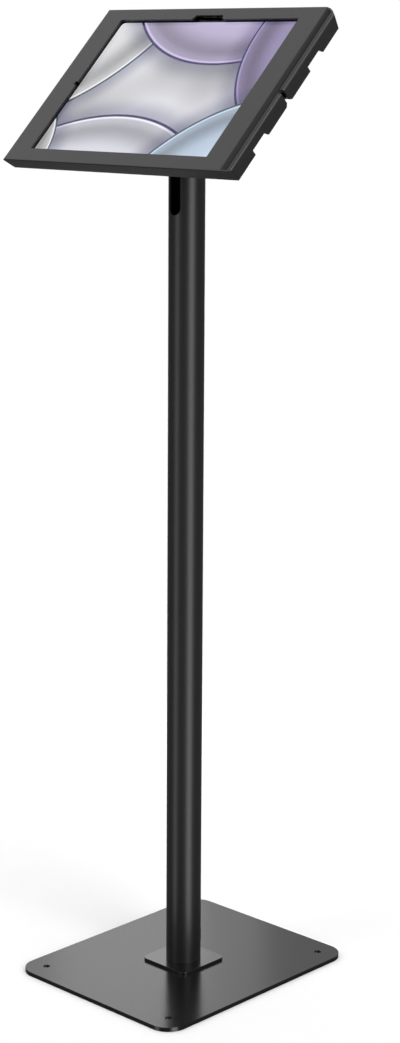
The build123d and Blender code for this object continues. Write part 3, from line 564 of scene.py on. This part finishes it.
@dataclass(frozen=True)
class ScreenPicture:
    """The lit display: pale silver, lavender and blue paper-like folds."""

    name: str
    turn: float
    shift: Spot
    ground: Colour
    folds: tuple[Fold, ...]
    ground_scale: float = 7.0
    ground_stops: tuple[float, float] = (0.35, 0.6)
    ground_gains: tuple[float, float] = (0.6, 1.0)
    rim_end: float = 0.018
    shades: tuple[tuple[float, float], ...] = (
        (0.03, 1.3), (0.055, 0.7), (0.15, 0.5), (0.38, 0.95), (0.6, 1.15), (0.8, 0.95),
    )
    last_shade: float = 0.72
    shadow_width: float = 0.03
    shadow_depth: float = 0.9
    shadow_colour: Colour = (0.52, 0.52, 0.62)
    blur: float = 0.0003
    unlit_colour: Colour = (0.01, 0.01, 0.012)
    roughness: float = 0.3
    specular: float = 0.1

    def fold_shades(self, tree: Tree, fold: Fold) -> Node:
        """Make the ramp of one fold's shades, from its rim inwards.

        Args:
            tree: the material's nodes.
            fold: the fold.

        Returns:
            The ramp.
        """
        shades = add_node(tree, "ValToRGB")
        ramp = shades.color_ramp
        ramp.interpolation = "EASE"
        ramp.elements[0].position = 0.0
        ramp.elements[0].color = opaque(fold.rim)
        ramp.elements[1].position = 1.0
        ramp.elements[1].color = opaque(fold.colour, self.last_shade)
        ramp.elements.new(self.rim_end).color = opaque(fold.rim)
        for position, gain in self.shades:
            ramp.elements.new(position).color = opaque(fold.colour, gain)
        return shades

    def lay_fold(self, tree: Tree, place: Socket, under: Socket, fold: Fold) -> Socket:
        """Lay one fold and its soft shadow over the colours under it.

        Args:
            tree: the material's nodes.
            place: the picture's coordinates.
            under: the colour so far.
            fold: the fold.

        Returns:
            The colour with the fold.
        """
        link = tree.links.new
        reach = add_node(tree, "VectorMath", {1: fold.centre + (0.0,)}, operation="DISTANCE")
        link(place, reach.inputs[0])
        inside = add_node(tree, "Math", {0: fold.radius}, operation="SUBTRACT")
        link(reach.outputs["Value"], inside.inputs[1])
        depth = add_node(tree, "MapRange", {"From Max": fold.depth})
        link(inside.outputs["Value"], depth.inputs["Value"])
        shades = self.fold_shades(tree, fold)
        link(depth.outputs["Result"], shades.inputs["Fac"])
        limits = {"From Min": -self.shadow_width, "From Max": 0.0, "To Max": self.shadow_depth}
        shadow = add_node(tree, "MapRange", limits, interpolation_type="SMOOTHSTEP")
        link(inside.outputs["Value"], shadow.inputs["Value"])
        darker = add_node(tree, "Mix", data_type="RGBA", blend_type="MULTIPLY")
        darker.inputs["B"].default_value = opaque(self.shadow_colour)
        link(shadow.outputs["Result"], darker.inputs["Factor"])
        link(under, darker.inputs["A"])
        mask = add_node(tree, "MapRange", {"From Min": -self.blur, "From Max": self.blur})
        link(inside.outputs["Value"], mask.inputs["Value"])
        over = add_node(tree, "Mix", data_type="RGBA")
        link(mask.outputs["Result"], over.inputs["Factor"])
        link(darker.outputs["Result"], over.inputs["A"])
        link(shades.outputs["Color"], over.inputs["B"])
        return over.outputs["Result"]

    def build(self) -> Material:
        """Make the material.

        Returns:
            The material.
        """
        material, shader = new_material(self.name)
        tree = material.node_tree
        place = add_node(tree, "TexCoord")
        flat = add_node(tree, "Mapping", {"Rotation": (self.turn, 0.0, 0.0), "Location": self.shift})
        tree.links.new(place.outputs["Object"], flat.inputs["Vector"])
        level = add_node(tree, "VectorMath", {1: LEVEL}, operation="MULTIPLY")
        tree.links.new(flat.outputs["Vector"], level.inputs[0])
        glow = add_node(tree, "TexNoise", {"Scale": self.ground_scale, "Detail": 1.0})
        tree.links.new(level.outputs["Vector"], glow.inputs["Vector"])
        colour = tinted(tree, glow.outputs["Fac"], self.ground, self.ground_gains, self.ground_stops)
        for fold in self.folds:
            colour = self.lay_fold(tree, level.outputs["Vector"], colour, fold)
        tree.links.new(colour, shader.inputs["Emission Color"])
        shader.inputs["Emission Strength"].default_value = 1.0
        shader.inputs["Base Color"].default_value = opaque(self.unlit_colour)
        shader.inputs["Roughness"].default_value = self.roughness
        shader.inputs["Specular IOR Level"].default_value = self.specular
        return material


Finish = PowderCoat | BareSteel | SoftSolid | Anodised | ClearGlass | ScreenPicture


# The head's own frame


@dataclass(frozen=True)
class HeadFrame:
    """The head's frame: u to the right, v up the screen, n out of it, in millimetres."""

    pivot_height: float = 990.0
    reach: float = 55.0
    shift: float = 4.0
    lean: float = 45.0

    def place(self) -> Matrix:
        """Work out the transform from the head's metres to the world's.

        Returns:
            The transform.
        """
        lean = math.radians(self.lean)
        forward, up = self.reach * math.sin(lean), self.reach * math.cos(lean)
        middle = Vector((self.shift, -forward, self.pivot_height + up))
        return Matrix.Translation(middle * MM) @ Matrix.Rotation(lean, 4, "X")


HEAD = HeadFrame()


# Finishes of this stand

PAINT = PowderCoat("black_powder_paint", (0.0105, 0.0105, 0.0107), roughness=0.36, specular=0.5)
# The pole's paint is the head's black paint made darker, which is painted shade.
POLE_PAINT_WITH_SHADE = PowderCoat("pole_paint_with_painted_shade", (0.0062, 0.0062, 0.0063), roughness=0.36, specular=0.5)
# The foot's and the flange's paint is the head's black paint made darker still, which is painted shade.
FOOT_PAINT_WITH_SHADE = PowderCoat("foot_paint_with_painted_shade", (0.003, 0.003, 0.0031), roughness=0.2, specular=0.5, grain=0.06)
FLANGE_PAINT_WITH_SHADE = PowderCoat(
    "flange_paint_with_painted_shade", (0.003, 0.003, 0.0031), roughness=0.2, specular=0.8, grain=0.06,
)
# The sunk strip's paint is darker than the head's: its colour holds painted shade of the groove.
STRIP_PAINT_WITH_SHADE = PowderCoat("strip_paint_with_painted_shade", (0.0035, 0.0035, 0.0036), roughness=0.45, specular=0.25)
TRAY_PAINT = PowderCoat("tray_powder_paint", (0.0105, 0.0105, 0.0107), roughness=0.45, specular=0.4)
PRINT = SoftSolid(
    "glass_print_black", (0.004, 0.004, 0.0045), roughness=0.5, scale=300.0, relief=0.000001, specular=0.0,
)
ZINC = BareSteel("zinc_plated_steel")
CHROME = BareSteel("lock_chrome_plate", (0.72, 0.72, 0.71), roughness=0.16)
FIBRE = SoftSolid("friction_fibre", (0.08, 0.055, 0.04), roughness=0.8)
NYLON = SoftSolid("white_nylon", (0.62, 0.61, 0.57), roughness=0.5, scale=900.0, relief=0.00002)
RUBBER = SoftSolid("black_rubber", (0.018, 0.018, 0.018), roughness=0.7, scale=1200.0, relief=0.00004)
FOAM = SoftSolid("black_foam", (0.012, 0.012, 0.012), roughness=0.9, scale=2200.0, relief=0.00012)
BATTERY = SoftSolid("battery_wrap", (0.02, 0.02, 0.022), roughness=0.5, scale=600.0, relief=0.00001)
BOARD = SoftSolid("board_lacquer", (0.01, 0.07, 0.035), roughness=0.4, scale=700.0, relief=0.00003)
LENS = SoftSolid("camera_black", (0.006, 0.006, 0.007), roughness=0.16, scale=300.0, relief=0.000002)
SHELL = Anodised("anodised_aluminium")
GLASS = ClearGlass("cover_glass")


def head_picture() -> ScreenPicture:
    """Lay out the picture's folds in the head's own frame.

    Returns:
        The picture.
    """
    inverse = HEAD.place().inverted()
    silver = (0.72, 0.72, 0.76)
    violet = (0.022, 0.012, 0.11)
    teal = (0.03, 0.075, 0.09)
    folds = (
        Fold((-0.265, 0.150), 0.215, (0.74, 0.74, 0.76), teal, 0.150),
        Fold((0.040, 0.240), 0.205, (0.50, 0.44, 0.64), violet, 0.130),
        Fold((0.240, 0.085), 0.165, (0.29, 0.24, 0.42), violet, 0.110),
        Fold((-0.040, -0.265), 0.225, (0.72, 0.72, 0.80), violet, 0.140),
        Fold((0.190, -0.180), 0.175, (0.50, 0.60, 0.74), teal, 0.120),
        Fold((-0.240, -0.120), 0.125, (0.70, 0.70, 0.72), teal, 0.100),
    )
    return ScreenPicture("lit_screen", -math.radians(HEAD.lean), tuple(inverse.translation), silver, folds)


# The stand and its studio


class Dresser:
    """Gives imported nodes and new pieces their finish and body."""

    def __init__(self, frame: dict) -> None:
        """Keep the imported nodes, and the body and the record slot of each.

        Args:
            frame: what the loader returned.
        """
        self.nodes = frame["nodes"]
        record = frame["record"]
        self.owner = {node: body for body, nodes in record["behaviour"]["bodies"].items() for node in nodes}
        self.slots = {row["node"]: row["material_slot"] for row in record["subparts"]}
        self.made: dict[str, Material] = {}

    def material(self, finish: Finish) -> Material:
        """Look up a finish's material, made on first use.

        Args:
            finish: the finish.

        Returns:
            The material.
        """
        if finish.name not in self.made:
            self.made[finish.name] = finish.build()
        return self.made[finish.name]

    def paint(self, finish: Finish, *names: str) -> None:
        """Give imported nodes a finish.

        Args:
            finish: the finish.
            names: the nodes.
        """
        for name in names:
            node = self.nodes[name]
            node.data.materials.clear()
            node.data.materials.append(self.material(finish))
            LOG.info("node %s wears %s", name, finish.name)

    def stand_in(self, piece: Piece, finish: Finish, name: str) -> None:
        """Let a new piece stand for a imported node.

        Args:
            piece: the new piece.
            finish: its finish.
            name: the node it replaces.
        """
        piece.data.materials.clear()
        piece.data.materials.append(self.material(finish))
        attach(piece, self.owner[name])
        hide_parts(name)
        LOG.info("piece %s stands for %s, %d faces", piece.name, name, len(piece.data.polygons))

    def soften(self, finish: Finish, width: float, *names: str) -> None:
        """Replace nodes by copies with rounded edges.

        Args:
            finish: their finish.
            width: the rounding's width in millimetres.
            names: the nodes.
        """
        for name in names:
            piece = merged_copy(self.nodes[name], f"{name}_rounded")
            round_edges(piece, width)
            self.stand_in(piece, finish, name)


@dataclass
class Foot:
    """The foot, the pole's flange and the screws under them, in millimetres."""

    width: float = 252.0
    depth: float = 307.0
    thickness: float = 5.0
    corner: float = 25.0
    hole_radius: float = 4.0
    hole_inset: float = 25.0
    cable_radius: float = 13.0
    flange_side: float = 70.6
    flange_thickness: float = 3.2
    flange_corner: float = 8.0
    screw_spread: float = 50.0
    screw_hole_radius: float = 3.15
    screw_mouth_radius: float = 5.9
    screw_sink: float = 0.3
    tapped_depth: float = 2.55
    through: float = 20.0
    overrun: float = 1.0
    hole_sides: int = 48
    screw_sides: int = 32
    plate_rounding: float = 0.7
    plate_steps: int = 3
    flange_rounding: float = 0.4
    screw_rounding: float = 0.15

    def plate(self) -> Piece:
        """Model the foot plate with its floor holes, cable hole and countersinks.

        Returns:
            The plate.
        """
        plate = rounded_plate("foot_plate", (self.width, self.depth), self.corner, 0.0, self.thickness)
        middle = self.thickness / 2
        reach_x = self.width / 2 - self.hole_inset
        reach_y = self.depth / 2 - self.hole_inset
        for sx in (-1, 1):
            for sy in (-1, 1):
                spot = (sx * reach_x, sy * reach_y, middle)
                cut(plate, rod("hole", self.hole_radius, self.through, spot, Axis.Z, self.hole_sides))
                spot = (sx * self.screw_spread / 2, sy * self.screw_spread / 2, middle)
                cut(plate, rod("hole", self.screw_hole_radius, self.through, spot, Axis.Z, self.screw_sides))
                cut(plate, self.countersink(spot))
        cut(plate, rod("hole", self.cable_radius, self.through, (0.0, 0.0, middle), Axis.Z))
        round_edges(plate, self.plate_rounding, self.plate_steps)
        return plate

    def countersink(self, spot: Spot) -> Piece:
        """Model the cutter for one countersink on the underside.

        Args:
            spot: where the screw stands.

        Returns:
            The cutter.
        """
        height = self.screw_mouth_radius - self.screw_hole_radius
        middle = self.screw_sink + (height - self.overrun) / 2
        deselect_all()
        bpy.ops.mesh.primitive_cone_add(
            vertices=self.screw_sides, radius1=(self.screw_mouth_radius + self.overrun) * MM,
            radius2=self.screw_hole_radius * MM, depth=(height + self.overrun) * MM,
            location=(spot[0] * MM, spot[1] * MM, middle * MM),
        )
        cutter = name_piece("countersink")
        settle(cutter)
        return cutter

    def flange(self) -> Piece:
        """Model the pole's flange with its tapped holes.

        Returns:
            The flange.
        """
        top = self.thickness + self.flange_thickness
        size = (self.flange_side, self.flange_side)
        flange = rounded_plate("flange_plate", size, self.flange_corner, self.thickness, top)
        cut(flange, rod("hole", self.cable_radius, self.through, (0.0, 0.0, top), Axis.Z))
        depth = 2 * self.tapped_depth
        for sx in (-1, 1):
            for sy in (-1, 1):
                spot = (sx * self.screw_spread / 2, sy * self.screw_spread / 2, self.thickness)
                cut(flange, rod("hole", self.screw_hole_radius, depth, spot, Axis.Z, self.screw_sides))
        round_edges(flange, self.flange_rounding)
        return flange

    def build(self, dresser: Dresser) -> None:
        """Make and dress the pieces.

        Args:
            dresser: what dresses them.
        """
        dresser.stand_in(self.plate(), FOOT_PAINT_WITH_SHADE, "base_plate")
        dresser.stand_in(self.flange(), FLANGE_PAINT_WITH_SHADE, "pole_flange")
        dresser.soften(ZINC, self.screw_rounding, "flange_screws")


@dataclass
class Pole:
    """The tube with its slots and holes, the hinge block and what is screwed to them, in millimetres."""

    radius: float = 20.5
    wall: float = 2.0
    foot: float = 8.2
    top: float = 1001.0
    slot_width: float = 16.5
    slot_bottom: float = 888.0
    exit_height: float = 34.0
    exit_width: float = 15.0
    exit_length: float = 24.0
    pivot: float = 990.0
    side_radius: float = 6.8
    screw_radius: float = 2.15
    screw_drops: tuple[float, ...] = (3.0, 30.0)
    bore_overrun: float = 10.0
    slot_overrun: float = 40.0
    wall_reach: float = 12.0
    through: float = 60.0
    end_share: float = 0.4999
    tube_sides: int = 128
    side_sides: int = 48
    screw_sides: int = 24
    tube_rounding: float = 0.35
    tube_crease: float = 40.0
    grommet_rounding: float = 0.5
    block_rounding: float = 0.3
    fastener_rounding: float = 0.2

    def slot_cutter(self, width: float, low: float, high: float, y: float) -> Piece:
        """Model an upright cutter with round ends that runs through the tube's wall.

        Args:
            width: its width.
            low: its lower end.
            high: its upper end.
            y: the depth of its middle.

        Returns:
            The cutter.
        """
        reach = self.wall_reach / 2
        cutter = rounded_plate("slot", (width, high - low), width * self.end_share, -reach, reach)
        middle = Vector((0, y, (low + high) / 2)) * MM
        settle(cutter, Matrix.Translation(middle) @ Matrix.Rotation(math.pi / 2, 4, "X"))
        return cutter

    def tube(self) -> Piece:
        """Model the tube.

        Returns:
            The tube.
        """
        length = self.top - self.foot
        middle = (0.0, 0.0, self.foot + length / 2)
        tube = rod("pole", self.radius, length, middle, Axis.Z, self.tube_sides)
        inside = self.radius - self.wall
        cut(tube, rod("bore", inside, length + self.bore_overrun, middle, Axis.Z, self.tube_sides))
        high = self.top + self.slot_overrun
        cut(tube, self.slot_cutter(self.slot_width, self.slot_bottom, high, -self.radius))
        low = self.exit_height - self.exit_length / 2
        cut(tube, self.slot_cutter(self.exit_width, low, low + self.exit_length, self.radius))
        spot = (0.0, 0.0, self.pivot)
        cut(tube, rod("hole", self.side_radius, self.through, spot, Axis.X, self.side_sides))
        for drop in self.screw_drops:
            spot = (0.0, self.radius, self.pivot - drop)
            cut(tube, rod("hole", self.screw_radius, self.wall_reach, spot, Axis.Y, self.screw_sides))
        round_edges(tube, self.tube_rounding, angle=self.tube_crease)
        return tube

    def build(self, dresser: Dresser) -> None:
        """Make and dress the pieces.

        Args:
            dresser: what dresses them.
        """
        dresser.stand_in(self.tube(), POLE_PAINT_WITH_SHADE, "pole_tube")
        dresser.soften(RUBBER, self.grommet_rounding, "cable_grommet")
        dresser.soften(TRAY_PAINT, self.block_rounding, "hinge_block")
        dresser.soften(ZINC, self.fastener_rounding, "block_screws", "tilt_bolt", "tilt_nut")
        dresser.paint(FIBRE, "friction_discs")


@dataclass
class Neck:
    """The tilting neck and the swivel behind the head, in millimetres."""

    neck_rounding: float = 0.5
    fastener_rounding: float = 0.25

    def build(self, dresser: Dresser) -> None:
        """Make and dress the pieces.

        Args:
            dresser: what dresses them.
        """
        fasteners = ("swivel_bolt", "swivel_nut", "spring_washer", "stop_pin", "plate_screws")
        dresser.soften(PAINT, self.neck_rounding, "tilt_neck", "swivel_plate")
        dresser.soften(ZINC, self.fastener_rounding, *fasteners)
        dresser.paint(NYLON, "swivel_washer")


@dataclass
class HeadShell:
    """The bezel, side cover, tray and their small parts, in millimetres in the head's own frame."""

    bezel_bend: float = 1.6
    cover_bend: float = 3.0
    half_width: float = 172.5
    half_height: float = 117.5
    rim_margin: float = 3.0
    face_margin: float = 0.05
    strip_left: float = 157.0
    strip_depths: tuple[float, float] = (-3.6, -0.25)
    sheet_rounding: float = 0.3
    tray_rounding: float = 0.25
    fastener_rounding: float = 0.2

    def shade_strip(self, piece: Piece, dresser: Dresser) -> None:
        """Give the sunk strip beside the side cover its duller paint, whose darker colour is painted shade of
        the groove.

        Args:
            piece: the bezel.
            dresser: what makes its materials.
        """
        inverse = HEAD.place().inverted()
        piece.data.materials.append(dresser.material(STRIP_PAINT_WITH_SHADE))
        low, high = self.strip_depths
        for face in piece.data.polygons:
            spot = inverse @ face.center / MM
            # These faces take the darker paint, which is painted shade.
            if spot.x > self.strip_left and low < spot.z < high:
                face.material_index = 1

    def on_front_rim(self, first: Vector, second: Vector) -> bool:
        """Tell whether an edge runs along the left, right or top rim of the head's face.

        Args:
            first: one end.
            second: the other end.

        Returns:
            True if it does.
        """
        inverse = HEAD.place().inverted()
        ends = [inverse @ end / MM for end in (first, second)]
        front = all(abs(end.z) < self.face_margin for end in ends)
        side = all(abs(abs(end.x) - self.half_width) < self.rim_margin for end in ends)
        top = all(abs(end.y - self.half_height) < self.rim_margin for end in ends)
        return front and (side or top)

    def folded(self, dresser: Dresser, name: str, bend: float) -> Piece:
        """Copy one of the front's sheets with its rim bent, and let the copy stand for it.

        Args:
            dresser: what dresses it.
            name: the node.
            bend: the bend's radius.

        Returns:
            The copy.
        """
        piece = merged_copy(dresser.nodes[name], f"{name}_folded")
        bend_edges(piece, self.on_front_rim, bend)
        round_edges(piece, self.sheet_rounding)
        dresser.stand_in(piece, PAINT, name)
        return piece

    def build(self, dresser: Dresser) -> None:
        """Make and dress the pieces.

        Args:
            dresser: what dresses them.
        """
        self.shade_strip(self.folded(dresser, "front_bezel", self.bezel_bend), dresser)
        self.folded(dresser, "side_cover", self.cover_bend)
        dresser.soften(TRAY_PAINT, self.tray_rounding, "rear_tray", "lock_bracket")
        dresser.soften(ZINC, self.fastener_rounding, "tray_screws", "bracket_screws", "spacers")
        dresser.paint(FOAM, "front_gasket", "rear_pads")


@dataclass
class Tablet:
    """The tablet: shell, glass, lit display, cameras, buttons and inner parts, in the head's millimetres."""

    glass_front: float = -4.2
    glass_thickness: float = 0.74
    width: float = 279.6
    height: float = 213.9
    corner: float = 17.5
    middle: tuple[float, float] = (-5.8, 0.6)
    print_inner: tuple[float, float] = (269.0, 198.6)
    print_corner: float = 5.0
    print_thickness: float = 0.045
    print_gap: float = 0.005
    print_inset: float = 0.3
    overrun: float = 1.0
    camera_ring: float = 10.0
    camera_lens: float = 6.0
    camera_spot: tuple[float, float] = (-130.1, 92.05)
    camera_back: float = -10.3
    camera_height: float = 2.0
    camera_sides: int = 96
    well_shares: tuple[float, ...] = (1.0, 0.62, 0.3)
    well_depths: tuple[float, ...] = (0.6, 1.0, 1.3)
    glass_rounding: float = 0.25
    glass_crease: float = 50.0
    camera_crease: float = 40.0
    rounding_steps: int = 3
    shell_rounding: float = 0.3

    def glass(self) -> Piece:
        """Model the cover glass with its rounded rim.

        Returns:
            The glass.
        """
        size = (self.width, self.height)
        low = self.glass_front - self.glass_thickness
        glass = rounded_plate("glass_sheet", size, self.corner, low, self.glass_front, self.middle)
        round_edges(glass, self.glass_rounding, self.rounding_steps, self.glass_crease)
        settle(glass, HEAD.place())
        return glass

    def border(self) -> Piece:
        """Model the black border printed on the glass's back.

        Returns:
            The border.
        """
        high = self.glass_front - self.glass_thickness - self.print_gap
        low = high - self.print_thickness
        outer = (self.width - 2 * self.print_inset, self.height - 2 * self.print_inset)
        border = rounded_plate("glass_border", outer, self.corner - self.print_inset, low, high, self.middle)
        low, high = low - self.overrun, high + self.overrun
        cut(border, rounded_plate("opening", self.print_inner, self.print_corner, low, high, self.middle))
        settle(border, HEAD.place())
        return border

    def camera(self) -> Piece:
        """Model the rear camera's ring with its stepped lens well.

        Returns:
            The camera ring.
        """
        u, v = self.camera_spot
        height = self.camera_height
        middle = (u, v, self.camera_back - height / 2)
        ring = rod("rear_camera_ring", self.camera_ring, height, middle, Axis.Z, self.camera_sides)
        back = (u, v, self.camera_back - height)
        for share, depth in zip(self.well_shares, self.well_depths):
            cut(ring, rod("well", self.camera_lens * share, 2 * depth, back, Axis.Z))
        round_edges(ring, self.shell_rounding, self.rounding_steps, self.camera_crease)
        settle(ring, HEAD.place())
        return ring

    def build(self, dresser: Dresser) -> None:
        """Make and dress the pieces.

        Args:
            dresser: what dresses them.
        """
        dresser.stand_in(self.glass(), GLASS, "tablet_glass")
        dresser.stand_in(self.border(), PRINT, "tablet_glass")
        dresser.stand_in(self.camera(), LENS, "rear_camera")
        dresser.paint(head_picture(), "tablet_display")
        dresser.soften(SHELL, self.shell_rounding, "tablet_shell", "volume_up", "volume_down", "power_button")
        dresser.paint(LENS, "front_camera")
        dresser.paint(BATTERY, "tablet_battery")
        dresser.paint(BOARD, "tablet_board")


@dataclass
class Lock:
    """The key lock behind the tray, in millimetres."""

    rounding: float = 0.3

    def build(self, dresser: Dresser) -> None:
        """Make and dress the pieces."""
        dresser.soften(CHROME, self.rounding, "lock_barrel", "lock_plug")
        dresser.soften(ZINC, self.rounding, "lock_nut", "lock_cam", "cam_screw")


@dataclass(frozen=True)
class SoftBox:
    """A soft box near the stand, in metres and watts."""

    name: str
    spot: Spot
    aim: Spot
    size: tuple[float, float]
    watts: float

    def hang(self) -> None:
        """Add the lamp, which the camera doesn't see."""
        data = bpy.data.lights.new(self.name, "AREA")
        data.shape = "RECTANGLE"
        data.size, data.size_y = self.size
        data.energy = self.watts
        lamp = bpy.data.objects.new(self.name, data)
        bpy.context.scene.collection.objects.link(lamp)
        lamp.location = self.spot
        lamp.rotation_euler = (Vector(self.aim) - Vector(self.spot)).to_track_quat("-Z", "Y").to_euler()
        lamp.visible_camera = False


@dataclass
class Studio:
    """Camera, lights, floor and backdrop.

    The dome is given by the heights where it starts and is full, and its level. Each spot, a glow or a dark
    flag, has its direction, the cosines of the angle from it where it starts and is full, and its level. Each
    bank has its bearing, its inner and outer half widths in degrees, and its level.
    """

    azimuth: float = 43.55
    elevation: float = 12.15
    roll: float = 0.35
    distance: float = 2.47031
    target: Spot = (0.0121, 0.0115, 0.5398)
    lens: float = 74.60
    far: float = 50.0
    fill: float = 0.15
    dome: tuple[float, float, float] = (0.12, 0.44, 0.62)
    spots: tuple[tuple[Spot, tuple[float, float, float]], ...] = (
        ((-0.70, 0.05, 0.71), (0.766, 0.99, 0.40)),
        ((-0.179, -0.401, 0.899), (0.86, 0.985, -0.48)),
    )
    banks: tuple[tuple[float, float, float, float], ...] = ((33.0, 3.0, 22.0, 3.4), (-60.0, 3.0, 16.0, 1.6))
    boxes: tuple[SoftBox, ...] = (
        SoftBox("narrow_softbox", (-0.731, 0.623, 0.52), (-0.05, -0.05, 0.0), (0.25, 0.5), 0.25),
        SoftBox("wide_softbox", (-0.743, 0.612, 0.52), (-0.05, -0.05, 0.0), (0.5, 0.5), 0.5),
    )
    floor_size: float = 30.0
    floor_drop: float = 0.0003
    floor_colour: Colour = (0.86, 0.86, 0.86)
    floor_roughness: float = 0.9
    floor_lift: float = 0.06

    def axes(self) -> tuple[Vector, Vector, Vector]:
        """The camera's right, up and back directions.

        Returns:
            Three unit vectors.
        """
        az, el, roll = (math.radians(a) for a in (self.azimuth, self.elevation, self.roll))
        back = Vector((math.sin(az) * math.cos(el), -math.cos(az) * math.cos(el), math.sin(el)))
        right = (-back).cross(Vector((0, 0, 1))).normalized()
        up = right.cross(-back)
        return (
            right * math.cos(roll) + up * math.sin(roll),
            up * math.cos(roll) - right * math.sin(roll),
            back,
        )

    def camera(self) -> None:
        """Set the camera where the fitted view has it."""
        right, up, back = self.axes()
        data = bpy.data.cameras.new("camera")
        data.lens = self.lens
        data.clip_end = self.far
        camera = bpy.data.objects.new("camera", data)
        bpy.context.scene.collection.objects.link(camera)
        place = Matrix((right, up, back)).transposed().to_4x4()
        place.translation = Vector(self.target) + back * self.distance
        camera.matrix_world = place
        bpy.context.scene.camera = camera

    def ramp(self, tree: Tree, value: Socket, start: float, end: float, level: float) -> Socket:
        """Raise a light level smoothly from nothing.

        Args:
            tree: the world's nodes.
            value: what it depends on.
            start: where it leaves zero.
            end: where it is full.
            level: the full level.

        Returns:
            The level's socket.
        """
        limits = {"From Min": start, "From Max": end, "To Max": level}
        rise = add_node(tree, "MapRange", limits, interpolation_type="SMOOTHSTEP")
        tree.links.new(value, rise.inputs["Value"])
        return rise.outputs["Result"]

    def join(self, tree: Tree, operation: str, first: Socket, second: Socket) -> Socket:
        """Join two levels into one.

        Args:
            tree: the world's nodes.
            operation: how they are joined, such as ADD.
            first: one level.
            second: the other.

        Returns:
            The result's socket.
        """
        joint = add_node(tree, "Math", operation=operation)
        tree.links.new(first, joint.inputs[0])
        tree.links.new(second, joint.inputs[1])
        return joint.outputs["Value"]

    def facing(self, tree: Tree, view: Socket, direction: Spot) -> Socket:
        """Tell how far a view faces a direction, as the cosine between them.

        Args:
            tree: the world's nodes.
            view: the view's direction.
            direction: the direction.

        Returns:
            The cosine's socket.
        """
        product = add_node(tree, "VectorMath", {1: direction}, operation="DOT_PRODUCT")
        tree.links.new(view, product.inputs[0])
        return product.outputs["Value"]

    def world(self) -> None:
        """Light the scene: a soft dome, a glow, a dark flag, two upright banks and white for the camera."""
        world = bpy.data.worlds.new("studio")
        bpy.context.scene.world = world
        world.use_nodes = True
        tree = world.node_tree
        view = add_node(tree, "TexCoord").outputs["Generated"]
        height = add_node(tree, "SeparateXYZ")
        tree.links.new(view, height.inputs["Vector"])
        light = self.ramp(tree, height.outputs["Z"], *self.dome)
        for direction, levels in self.spots:
            spot = self.ramp(tree, self.facing(tree, view, direction), *levels)
            light = self.join(tree, "ADD", light, spot)
        flat = add_node(tree, "VectorMath", {1: LEVEL}, operation="MULTIPLY")
        tree.links.new(view, flat.inputs[0])
        around = add_node(tree, "VectorMath", operation="NORMALIZE")
        tree.links.new(flat.outputs["Vector"], around.inputs[0])
        for bearing, inner, outer, level in self.banks:
            angle = math.radians(self.azimuth - 90.0 + bearing)
            facing = self.facing(tree, around.outputs["Vector"], (math.cos(angle), math.sin(angle), 0.0))
            start, end = math.cos(math.radians(outer)), math.cos(math.radians(inner))
            light = self.join(tree, "ADD", light, self.ramp(tree, facing, start, end, level))
        fill = add_node(tree, "Math", {1: self.fill}, operation="ADD")
        tree.links.new(light, fill.inputs[0])
        path = add_node(tree, "LightPath")
        clear = self.join(tree, "MAXIMUM", path.outputs["Is Camera Ray"], path.outputs["Is Transmission Ray"])
        seen = add_node(tree, "Mix", {"B": 1.0})
        tree.links.new(clear, seen.inputs["Factor"])
        tree.links.new(fill.outputs["Value"], seen.inputs["A"])
        sky = tree.nodes["Background"]
        sky.inputs["Color"].default_value = WHITE
        tree.links.new(seen.outputs["Result"], sky.inputs["Strength"])

    def floor(self) -> None:
        """Lay a pale floor that reads as white and keeps the stand's shadow."""
        deselect_all()
        bpy.ops.mesh.primitive_plane_add(size=self.floor_size, location=(0.0, 0.0, -self.floor_drop))
        floor = name_piece("floor")
        settle(floor)
        material, shader = new_material("pale_floor")
        shader.inputs["Base Color"].default_value = opaque(self.floor_colour)
        shader.inputs["Roughness"].default_value = self.floor_roughness
        shader.inputs["Specular IOR Level"].default_value = 0.0
        tree = material.node_tree
        path = add_node(tree, "LightPath")
        lift = add_node(tree, "Math", {1: self.floor_lift}, operation="MULTIPLY")
        tree.links.new(path.outputs["Is Camera Ray"], lift.inputs[0])
        shader.inputs["Emission Color"].default_value = WHITE
        tree.links.new(lift.outputs["Value"], shader.inputs["Emission Strength"])
        floor.data.materials.append(material)
        floor.visible_glossy = False
        floor.visible_shadow = False

    def build(self) -> None:
        """Set the scene."""
        self.camera()
        self.world()
        self.floor()
        for box in self.boxes:
            box.hang()
        bpy.context.scene.view_settings.view_transform = "Standard"


def main() -> None:
    """Build and dress the whole stand."""
    logging.basicConfig(level=logging.INFO, format="%(message)s")
    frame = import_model()
    Studio().build()
    dresser = Dresser(frame)
    for part in (Foot(), Pole(), Neck(), HeadShell(), Tablet(), Lock()):
        LOG.info("building %s", type(part).__name__)
        part.build(dresser)
    bpy.context.view_layer.update()


if __name__ == "__main__":
    main()
